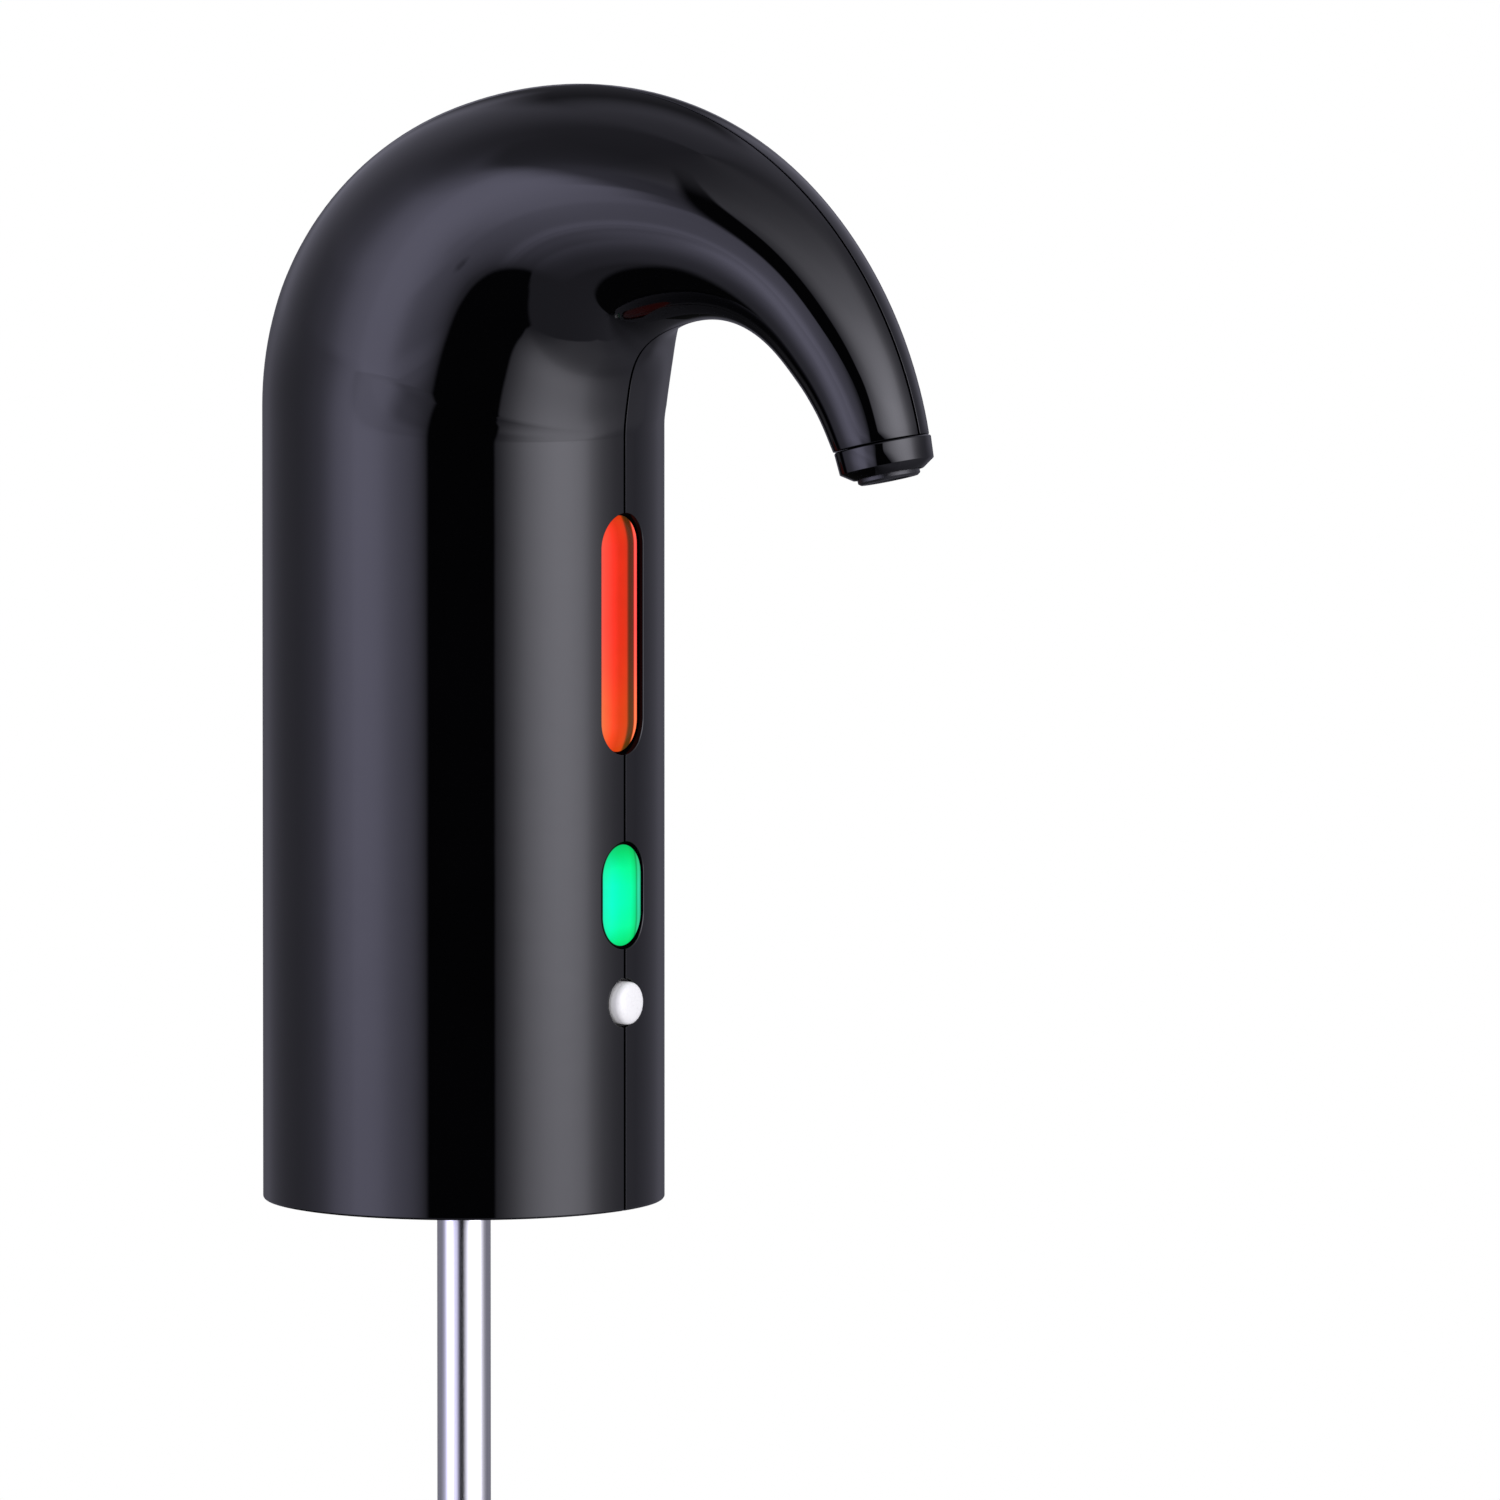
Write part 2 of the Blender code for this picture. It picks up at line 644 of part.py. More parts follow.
def stations():
    """All sections of the housing from its rim to the spout's end, each with its wall."""
    towards_back = Vector((-1.0, 0.0, 0.0))
    rim = Vector((0.0, 0.0, 0.0))
    shoulder = Vector((0.0, 0.0, RIM_ROUNDING))
    found = [(rim, towards_back, BODY_RADIUS - RIM_ROUNDING, WALL - RIM_ROUNDING)]
    found.append((shoulder, towards_back, BODY_RADIUS, WALL))
    for index in range(LOFT_RINGS + 1):
        share = index / LOFT_RINGS
        found.append((*section(share), wall_at(share)))
    return found


def to_world(centre, towards_back, along_back, sideways, radius):
    """Place a point of a section; the first sections are tilted, and no wider than the body."""
    narrowing = min(1.0, BODY_RADIUS / radius)
    return centre + towards_back * along_back + Vector((0.0, sideways * narrowing, 0.0))


def arc_between(radius, offset, side, segments):
    """Half circle on one side of the seam, from the back to the front, kept off the seam."""
    start = math.asin(offset / radius)
    points = []
    for step in range(segments + 1):
        angle = start + (math.pi - 2 * start) * step / segments
        points.append((radius * math.cos(angle), side * radius * math.sin(angle)))
    return points


def half_section(radius, wall, side):
    """Closed outline of one housing half in a section: outer arc, seam lip, inner arc, seam lip.

    The half at +Y has a lip that crosses the seam inside, and the other half a rebate for it.
    """
    inner = radius - wall
    if side > 0:
        lip_radius = radius - wall / 2
        lip_offset = -LIP_REACH
    else:
        lip_radius = radius - wall / 2 + SEAT_GAP
        lip_offset = LIP_REACH + SEAT_GAP
    outer_arc = arc_between(radius, SEAM_HALF_GAP, side, HALF_SEGMENTS)
    inner_arc = arc_between(inner, lip_offset, side, HALF_SEGMENTS)
    edge_reach = math.sqrt(lip_radius ** 2 - SEAM_HALF_GAP ** 2)
    lip_reach = math.sqrt(lip_radius ** 2 - lip_offset ** 2)
    front = [(-edge_reach, side * SEAM_HALF_GAP), (-lip_reach, side * lip_offset)]
    back = [(lip_reach, side * lip_offset), (edge_reach, side * SEAM_HALF_GAP)]
    return outer_arc + front + inner_arc[::-1] + back


def housing_core():
    """Solid that ends in the middle of the wall: it trims the posts inside the housing."""
    rings = []
    for centre, towards_back, radius, wall in stations():
        ring_points = []
        for step in range(CORE_SEGMENTS):
            angle = 2 * math.pi * step / CORE_SEGMENTS
            back = (radius - wall / 2) * math.cos(angle)
            sideways = (radius - wall / 2) * math.sin(angle)
            ring_points.append(to_world(centre, towards_back, back, sideways, radius))
        rings.append(ring_points)
    return as_cutter(loft("housing_core", rings, GLOSS_BLACK))


def add_rod_between(shape, start, end, radius):
    """Add a cylinder between two points to a bmesh."""
    axis = Vector(end) - Vector(start)
    turn = Vector((0.0, 0.0, 1.0)).rotation_difference(axis).to_matrix().to_4x4()
    middle = Matrix.Translation((Vector(start) + Vector(end)) / 2)
    bmesh.ops.create_cone(shape, cap_ends=True, segments=ROUND_TINY, radius1=radius, radius2=radius,
                          depth=axis.length, matrix=middle @ turn)


def mesh_from_bmesh(name, shape):
    """Link a finished bmesh as a housing piece or cutter."""
    mesh = bpy.data.meshes.new(name)
    shape.to_mesh(mesh)
    shape.free()
    return add_part(name, mesh, GLOSS_BLACK)


def post_places():
    """Places of the posts that line the halves up, with their radii, as (x, z, radius)."""
    centre, towards_back, radius = section(SPOUT_POST_share)
    clear = radius - wall_at(SPOUT_POST_share) - SPOUT_POST_RADIUS - SEAT_GAP
    spout_post = centre + towards_back * (clear - LIP_REACH)
    crown_height = back_arc_point(BACK_ARC_SWEEP).z - CROWN_POST_DROP
    return [(BACK_POST_INSET - INNER_RADIUS, BACK_POST_HEIGHT, POST_RADIUS),
            (INNER_RADIUS - FRONT_POST_INSET, FRONT_POST_HEIGHT, POST_RADIUS),
            (CROWN_POST_PLACE, crown_height, POST_RADIUS),
            (spout_post.x, spout_post.z, SPOUT_POST_RADIUS)]


def board_hole_places(side):
    """The two board bosses on one side, as (y, z), the one that takes a screw first."""
    across = side * (BOARD_HALF_WIDTH - BOARD_HOLE_INSET)
    low = BOARD_BOTTOM + BOARD_HOLE_INSET
    high = BOARD_TOP - BOARD_HOLE_INSET
    return [(across, low), (across, high)] if side < 0 else [(across, high), (across, low)]


def base_screw_places(side):
    """The two base screws on one side, as (x, y)."""
    reach = BASE_SCREW_CIRCLE * math.sqrt(0.5)
    return [(-reach, side * reach), (reach, side * reach)]


def base_boss(shape, place):
    """Upright boss for a base screw, run out to the wall as a round-ended block."""
    outward = Vector((place[0], place[1], 0.0)).normalized()
    sideways = Vector((-outward.y, outward.x, 0.0))
    start = Vector((place[0], place[1], 0.0))
    low = BASE_RECESS + BASE_PLATE + SEAT_GAP
    outline = []
    for step in range(ROUND_TINY // 2 + 1):
        angle = math.pi / 2 + math.pi * step / (ROUND_TINY // 2)
        offset = outward * math.cos(angle) + sideways * math.sin(angle)
        outline.append(start + offset * POST_RADIUS)
    run_out = outward * (BODY_RADIUS - BASE_SCREW_CIRCLE)
    outline.append(start + run_out - sideways * POST_RADIUS)
    outline.append(start + run_out + sideways * POST_RADIUS)
    lower = [shape.verts.new(point + Vector((0.0, 0.0, low))) for point in outline]
    upper = [shape.verts.new(point + Vector((0.0, 0.0, BASE_BOSS_HEIGHT))) for point in outline]
    count = len(outline)
    for index in range(count):
        following = (index + 1) % count
        shape.faces.new((lower[index], lower[following], upper[following], upper[index]))
    shape.faces.new(list(reversed(lower)))
    shape.faces.new(upper)


def housing_bosses(name, side, core):
    """All posts and bosses of one half, trimmed to end inside its wall."""
    shape = bmesh.new()
    for across, height, radius in post_places():
        start = (across, side * SEAM_HALF_GAP, height)
        add_rod_between(shape, start, (across, side * BODY_RADIUS, height), radius)
    for across, height in board_hole_places(side):
        start = (BOARD_FACE + SEAT_GAP, across, height)
        add_rod_between(shape, start, (BODY_RADIUS, across, height), BOARD_BOSS_RADIUS)
    for place in base_screw_places(side):
        base_boss(shape, place)
    bmesh.ops.recalc_face_normals(shape, faces=shape.faces)
    bosses = mesh_from_bmesh(name, shape)
    add_boolean(bosses, core, "INTERSECT")
    return bosses


def housing_holes(name, side):
    """Pilot holes for the base screws and the board screw of one half."""
    shape = bmesh.new()
    pilot = SCREW_SHANK + SLIDE_GAP
    for across, along in base_screw_places(side):
        low = BASE_RECESS + BASE_PLATE - OVERRUN
        high = low + SCREW_LENGTH + OVERRUN + SEAT_GAP
        add_rod_between(shape, (across, along, low), (across, along, high), pilot)
    across, height = board_hole_places(side)[0]
    start = (BOARD_FACE - OVERRUN, across, height)
    end = (BOARD_FACE + SMALL_LENGTH, across, height)
    add_rod_between(shape, start, end, SMALL_SHANK + SLIDE_GAP)
    return mesh_from_bmesh(name, shape)


def lining_up_pins(name, radius, reach):
    """The pins on the right posts, or with a wider radius the sockets in the left posts."""
    shape = bmesh.new()
    for across, height, _ in post_places():
        start = (across, -SEAM_HALF_GAP - OVERRUN, height)
        add_rod_between(shape, start, (across, reach, height), radius)
    return mesh_from_bmesh(name, shape)


def key_opening(name, half_width, half_straight, height):
    """Cutter for a control's opening in the front wall, upright along the seam."""
    outline = stadium(half_width, half_straight, KEY_END_SEGMENTS)
    back = INNER_RADIUS - POST_RADIUS
    front = BODY_RADIUS + OVERRUN
    rings = []
    for depth in (back, front):
        rings.append([(depth, across, height + along) for across, along in outline])
    return loft(name, rings, MATTE_BLACK)


def charge_opening(name):
    """Cutter for the charging socket's opening in the back wall."""
    half_height = CHARGE_THICKNESS / 2 + SEAT_GAP
    half_straight = CHARGE_WIDTH / 2 - CHARGE_THICKNESS / 2
    outline = stadium(half_height, half_straight, KEY_END_SEGMENTS // 2)
    rings = []
    for depth in (-INNER_RADIUS + POST_RADIUS, -BODY_RADIUS - OVERRUN):
        rings.append([(depth, along, CHARGE_HEIGHT + across) for across, along in outline])
    return loft(name, rings, MATTE_BLACK)


def control_openings(label):
    """Cutters for the three controls and the charging socket."""
    key_half = KEY_HALF_WIDTH + KEY_GAP
    button_half = POWER_BUTTON_RADIUS + KEY_GAP
    holes = (("_pour_hole", key_half, POUR_KEY_STRAIGHT / 2, POUR_KEY_HEIGHT),
             ("_aerate_hole", key_half, AERATE_KEY_STRAIGHT / 2, AERATE_KEY_HEIGHT),
             ("_power_hole", button_half, SEAT_GAP, POWER_BUTTON_HEIGHT))
    openings = [key_opening(label + suffix, *sizes) for suffix, *sizes in holes]
    openings.append(charge_opening(label + "_charge_hole"))
    return openings


def build_housing():
    """The two gloss shells, each one loft with a lip or rebate along the seam."""
    for name, side in (("housing_left", 1), ("housing_right", -1)):
        rings = []
        for centre, towards_back, radius, wall in stations():
            outline = half_section(radius, wall, side)
            rings.append([to_world(centre, towards_back, *point, radius) for point in outline])
        half = loft(name, rings, GLOSS_BLACK)
        join(half, housing_bosses(name + "_bosses", side, housing_core()))
        if side > 0:
            sockets = lining_up_pins("pin_sockets", PIN_RADIUS + SEAT_GAP, PIN_REACH + SEAT_GAP)
            cut(half, sockets)
        else:
            join(half, lining_up_pins("pins", PIN_RADIUS, PIN_REACH))
        cut(half, housing_holes(name + "_pilots", side), *control_openings(name))


# Controls

def pill_key(name, profile, half_straight, height, material):
    """A control whose profile of (half width, depth along X) is carried round a pill outline."""
    rings = []
    for half_width, depth in profile:
        outline = stadium(half_width, half_straight, KEY_END_SEGMENTS)
        rings.append([(depth, across, along) for across, along in outline])
    return loft(name, rings, material, (0.0, 0.0, height))


def crowned_profile(half_width, flange_half, flange_front, edge, crown):
    """Profile from the stem's flange out to a crowned face."""
    profile = [(flange_half, flange_front - KEY_FLANGE_THICKNESS), (flange_half, flange_front)]
    profile.append((half_width, flange_front))
    for share in KEY_CROWN_shares:
        rise = crown * (1 - (1 - share) ** 2)
        profile.append((half_width * (1 - share), edge + rise))
    return profile


def build_controls():
    """Three sprung controls with their flanges behind the wall."""
    side_face = math.sqrt(BODY_RADIUS ** 2 - KEY_HALF_WIDTH ** 2)
    pour_profile = crowned_profile(KEY_HALF_WIDTH, KEY_FLANGE_HALF, KEY_FLANGE_FRONT,
                                   side_face - POUR_KEY_RECESS, POUR_KEY_CROWN)
    pour = pill_key("pour_key", pour_profile, POUR_KEY_STRAIGHT / 2, POUR_KEY_HEIGHT, RED_LENS)
    aerate_profile = crowned_profile(KEY_HALF_WIDTH, KEY_FLANGE_HALF, KEY_FLANGE_FRONT,
                                     side_face - AERATE_KEY_RECESS, AERATE_KEY_CROWN)
    aerate = pill_key("aerate_key", aerate_profile, AERATE_KEY_STRAIGHT / 2, AERATE_KEY_HEIGHT,
                      GREEN_LENS)
    back = BUTTON_FLANGE_FRONT - KEY_FLANGE_THICKNESS
    top = BODY_RADIUS + POWER_BUTTON_PROUD
    profile = [(0.0, top)]
    for share in BUTTON_DOME_shares:
        drop = POWER_BUTTON_DOME * (1 - math.sqrt(1 - share ** 2))
        profile.append((POWER_BUTTON_RADIUS * share, top - drop))
    profile.append((POWER_BUTTON_RADIUS, top - POWER_BUTTON_DOME))
    profile.append((POWER_BUTTON_RADIUS, BUTTON_FLANGE_FRONT))
    profile.append((BUTTON_FLANGE_RADIUS, BUTTON_FLANGE_FRONT))
    profile.append((BUTTON_FLANGE_RADIUS, back))
    profile.append((0.0, back))
    power = turned("power_button", profile, ROUND_MEDIUM, WHITE_CAP)
    lay_along_x(power, (0.0, 0.0, POWER_BUTTON_HEIGHT))
    stem_back = SWITCH_TOP + LED_HEIGHT
    for control, flange_front in ((pour, KEY_FLANGE_FRONT), (aerate, KEY_FLANGE_FRONT),
                                  (power, BUTTON_FLANGE_FRONT)):
        height = control.location.z
        stem = rod(control.name + "_stem", KEY_STEM_RADIUS, stem_back,
                   flange_front - KEY_FLANGE_THICKNESS / 2, ROUND_TINY, MATTE_BLACK)
        join(control, lay_along_x(stem, (0.0, 0.0, height)))
        label = control.name.split("_")[0]
        plunger = rod(label + "_plunger", SWITCH_PLUNGER_RADIUS, SWITCH_TOP - SEAT_GAP - KEY_TRAVEL / 2,
                      stem_back - SEAT_GAP, ROUND_TINY, MATTE_BLACK)
        lay_along_x(plunger, (0.0, 0.0, height))


# Base

def build_base():
    """Base cover with its socket, the gasket and the ribbed stopper."""
    outer = INNER_RADIUS - SEAT_GAP
    plate_top = BASE_RECESS + BASE_PLATE
    socket_outer = SOCKET_RADIUS + SOCKET_WALL
    stem_hole = MANIFOLD_STEM_RADIUS + SEAT_GAP
    profile = [(socket_outer, SOCKET_TOP), (socket_outer, plate_top), (outer, plate_top)]
    profile += [(outer, BASE_RECESS), (SOCKET_RADIUS + SOCKET_LEAD_IN, BASE_RECESS)]
    profile += [(SOCKET_RADIUS, BASE_RECESS + SOCKET_LEAD_IN), (SOCKET_RADIUS, SOCKET_DEPTH)]
    profile += [(stem_hole, SOCKET_DEPTH), (stem_hole, SOCKET_TOP)]
    cover = turned("base_cover", profile, ROUND_LARGE, MATTE_BLACK)
    board_floor = CHARGE_HEIGHT - CHARGE_THICKNESS / 2 - 2 * SEAT_GAP - CHARGE_BOARD_THICKNESS
    post_x = -(INNER_RADIUS + SOCKET_RADIUS + SOCKET_WALL) / 2
    for side, label in ((-1, "right"), (1, "left")):
        place = (post_x, side * (CHARGE_BOARD_HALF_WIDTH - CHARGE_POST_RADIUS))
        post = rod("charge_post_" + label, CHARGE_POST_RADIUS, plate_top - BASE_PLATE / 2, board_floor,
                   ROUND_TINY, MATTE_BLACK, place)
        join(cover, post)
        for index, spot in enumerate(base_screw_places(side)):
            number = index + 1 if side < 0 else index + 3
            seat = plate_top - SCREW_HEAD_HEIGHT
            hole = turned(f"base_screw_hole_{number}",
                          [(0.0, plate_top + OVERRUN), (SCREW_SHANK + SEAT_GAP, plate_top + OVERRUN),
                           (SCREW_SHANK + SEAT_GAP, seat), (SCREW_HEAD + SEAT_GAP, seat),
                           (SCREW_HEAD + SEAT_GAP, BASE_RECESS - OVERRUN), (0.0, BASE_RECESS - OVERRUN)],
                          ROUND_TINY, MATTE_BLACK, (*spot, 0.0))
            cut(cover, hole)
            upright_screw(f"base_screw_{number}", seat - SEAT_GAP, spot)
    vent = rod("cover_vent", VENT_RADIUS, SOCKET_DEPTH - OVERRUN, SOCKET_TOP + OVERRUN, ROUND_TINY,
               MATTE_BLACK, (0.0, VENT_PLACE))
    cut(cover, vent)
    gasket_top = SOCKET_DEPTH - SEAT_GAP
    ring("seat_gasket", GASKET_INNER_RADIUS, SOCKET_RADIUS - SEAT_GAP, gasket_top - GASKET_THICKNESS,
         gasket_top, ROUND_MEDIUM, SILICONE)
    build_stopper(gasket_top, stem_hole)


def build_stopper(top, bore):
    """Tapered plug with round ribs and an air vent, which seals in the mouth that it enters."""
    lip_radius = GASKET_INNER_RADIUS - SEAT_GAP
    ribs_top = top - STOPPER_LIP_THICKNESS
    profile = [(lip_radius, top), (lip_radius, ribs_top)]
    pitch = (ribs_top - STOPPER_FOOT_HEIGHT) / STOPPER_RIBS
    for rib in range(STOPPER_RIBS):
        crest_share = (rib + 0.5) / STOPPER_RIBS
        crest = STOPPER_TOP_RADIUS + (STOPPER_FOOT_RADIUS - STOPPER_TOP_RADIUS) * crest_share
        height = ribs_top - pitch * rib
        profile.append((crest - STOPPER_RIB_DEPTH, height))
        for share in STOPPER_CREST_shares:
            profile.append((crest, height - pitch * share))
        profile.append((crest - STOPPER_RIB_DEPTH, height - pitch))
    profile += [(bore, STOPPER_FOOT_HEIGHT), (bore, top)]
    stopper = turned("bottle_stopper", profile, ROUND_MEDIUM, SILICONE)
    vent = rod("stopper_vent", VENT_RADIUS, STOPPER_FOOT_HEIGHT - OVERRUN, top + OVERRUN, ROUND_TINY,
               MATTE_BLACK, (0.0, (bore + STOPPER_FOOT_RADIUS - STOPPER_RIB_DEPTH) / 2))
    cut(stopper, vent)


def upright_screw(name, bearing, spot, shank=SCREW_SHANK, head=SCREW_HEAD,
                  head_height=SCREW_HEAD_HEIGHT, length=SCREW_LENGTH):
    """A screw that points up; its head bears at the given height."""
    tip = bearing + length
    low = bearing - head_height + SEAT_GAP
    profile = [(0.0, tip), (shank, tip), (shank, bearing), (head, bearing), (head, low), (0.0, low)]
    return turned(name, profile, ROUND_TINY, STEEL, (*spot, 0.0))


# Suction tube

def build_inlet():
    """Manifold, its seal, and the telescopic suction tube below them."""
    tube_seat = TUBE_RADIUS + SLIDE_GAP
    profile = [(SPIGOT_RADIUS, SPIGOT_TOP), (SPIGOT_RADIUS, MANIFOLD_TOP)]
    profile += [(MANIFOLD_FLANGE_RADIUS, MANIFOLD_TOP), (MANIFOLD_FLANGE_RADIUS, MANIFOLD_BASE)]
    profile += [(MANIFOLD_STEM_RADIUS, MANIFOLD_BASE)]
    profile += [(MANIFOLD_STEM_RADIUS, MANIFOLD_FOOT_HEIGHT), (tube_seat, MANIFOLD_FOOT_HEIGHT)]
    profile += [(tube_seat, TUBE_TOP + SEAT_GAP), (SPIGOT_BORE, TUBE_TOP + SEAT_GAP + SPIGOT_BORE / 2)]
    profile += [(SPIGOT_BORE, SPIGOT_TOP)]
    turned("inlet_manifold", profile, ROUND_SMALL, NATURAL_PLASTIC)
    ring("inlet_seal", SPIGOT_RADIUS + SEAT_GAP, INLET_SEAL_RADIUS, MANIFOLD_TOP + SEAT_GAP,
         PUMP_BOTTOM - SEAT_GAP, ROUND_SMALL, SILICONE)
    end = TUBE_TOP - TUBE_SECTION_LENGTH
    radius = TUBE_RADIUS
    for index, name in enumerate(("tube_upper", "tube_middle")):
        bore = radius - TUBE_WALL
        collar = radius + TUBE_COLLAR_STEP
        collar_top = end + TUBE_COLLAR_LENGTH if index == 0 else end - SEAT_GAP
        end = collar_top - TUBE_COLLAR_LENGTH
        profile = [(radius, TUBE_TOP - TUBE_STAGGER * index), (radius, collar_top), (collar, collar_top)]
        profile += [(collar, end), (bore, end), (bore, TUBE_TOP - TUBE_STAGGER * index)]
        turned(name, profile, ROUND_SMALL, STEEL)
        radius = bore - SLIDE_GAP
    top = TUBE_TOP - 2 * TUBE_STAGGER
    foot_top = end - SEAT_GAP
    lower_end = foot_top - FOOT_SLEEVE
    ring("tube_lower", radius - TUBE_WALL, radius, lower_end, top, ROUND_SMALL, STEEL)
    build_foot(foot_top, lower_end - SEAT_GAP, radius + SLIDE_GAP)


def build_foot(top, seat, sleeve_bore):
    """Slotted plastic foot, so that the tube can't seal itself against what it touches."""
    low = top - FOOT_LENGTH
    profile = [(FOOT_RADIUS, top), (FOOT_RADIUS, low + FOOT_CHAMFER), (FOOT_RADIUS - FOOT_CHAMFER, low)]
    profile += [(FOOT_BORE, low), (FOOT_BORE, seat), (sleeve_bore, seat), (sleeve_bore, top)]
    foot = turned("tube_foot", profile, ROUND_SMALL, MATTE_BLACK)
    half_slot = FOOT_SLOT_WIDTH / 2
    reach = FOOT_RADIUS + OVERRUN
    slots = (("along", reach, half_slot), ("across", half_slot, reach))
    for label, half_x, half_y in slots:
        slot = box("foot_slot_" + label, (-half_x, -half_y, low - OVERRUN),
                   (half_x, half_y, low + FOOT_SLOT_DEPTH), MATTE_BLACK)
        cut(foot, slot)


# Gear pump

def involute_gear_outline():
    """Outline of the pump gear, tooth by tooth, with its first tooth centred on +X."""
    pitch_radius = GEAR_MODULE * GEAR_TEETH / 2
    base_radius = pitch_radius * math.cos(GEAR_PRESSURE_ANGLE)
    tip_radius = pitch_radius + GEAR_MODULE * GEAR_ADDENDUM_share
    root_radius = pitch_radius - GEAR_MODULE * GEAR_DEDENDUM_share
    involute_at_pitch = math.tan(GEAR_PRESSURE_ANGLE) - GEAR_PRESSURE_ANGLE
    half_tooth = math.pi / (2 * GEAR_TEETH) - GEAR_BACKLASH / (2 * pitch_radius)
    start_radius = max(base_radius, root_radius)
    flank = [(root_radius, half_tooth + involute_at_pitch)]
    for step in range(FLANK_POINTS):
        radius = start_radius + (tip_radius - start_radius) * step / (FLANK_POINTS - 1)
        pressure = math.acos(min(1.0, base_radius / radius))
        roll = math.tan(pressure) - pressure
        flank.append((radius, half_tooth + involute_at_pitch - roll))
    outline = []
    for tooth in range(GEAR_TEETH):
        middle = 2 * math.pi * tooth / GEAR_TEETH
        for radius, offset in flank:
            angle = middle - offset
            outline.append((radius * math.cos(angle), radius * math.sin(angle)))
        for radius, offset in reversed(flank):
            angle = middle + offset
            outline.append((radius * math.cos(angle), radius * math.sin(angle)))
    return outline


def gear(name, place, turn):
    """One pump gear with its origin on its own axis, turned into mesh."""
    wheel = prism(name, involute_gear_outline(), 0.0, GEAR_HEIGHT, STEEL)
    wheel.matrix_world = Matrix.Translation((*place, GEAR_BASE)) @ Matrix.Rotation(turn, 4, "Z") \
        @ Matrix.Translation((0.0, 0.0, GEAR_HEIGHT / 2))
    return wheel


def pump_screw_places():
    """Two screws at opposite corners of the pump."""
    across = PUMP_HALF_LENGTH - PUMP_SCREW_INSET
    along = PUMP_HALF_WIDTH - PUMP_SCREW_INSET
    return [(side * across, side * along - PORT_OFFSET) for side in (-1, 1)]


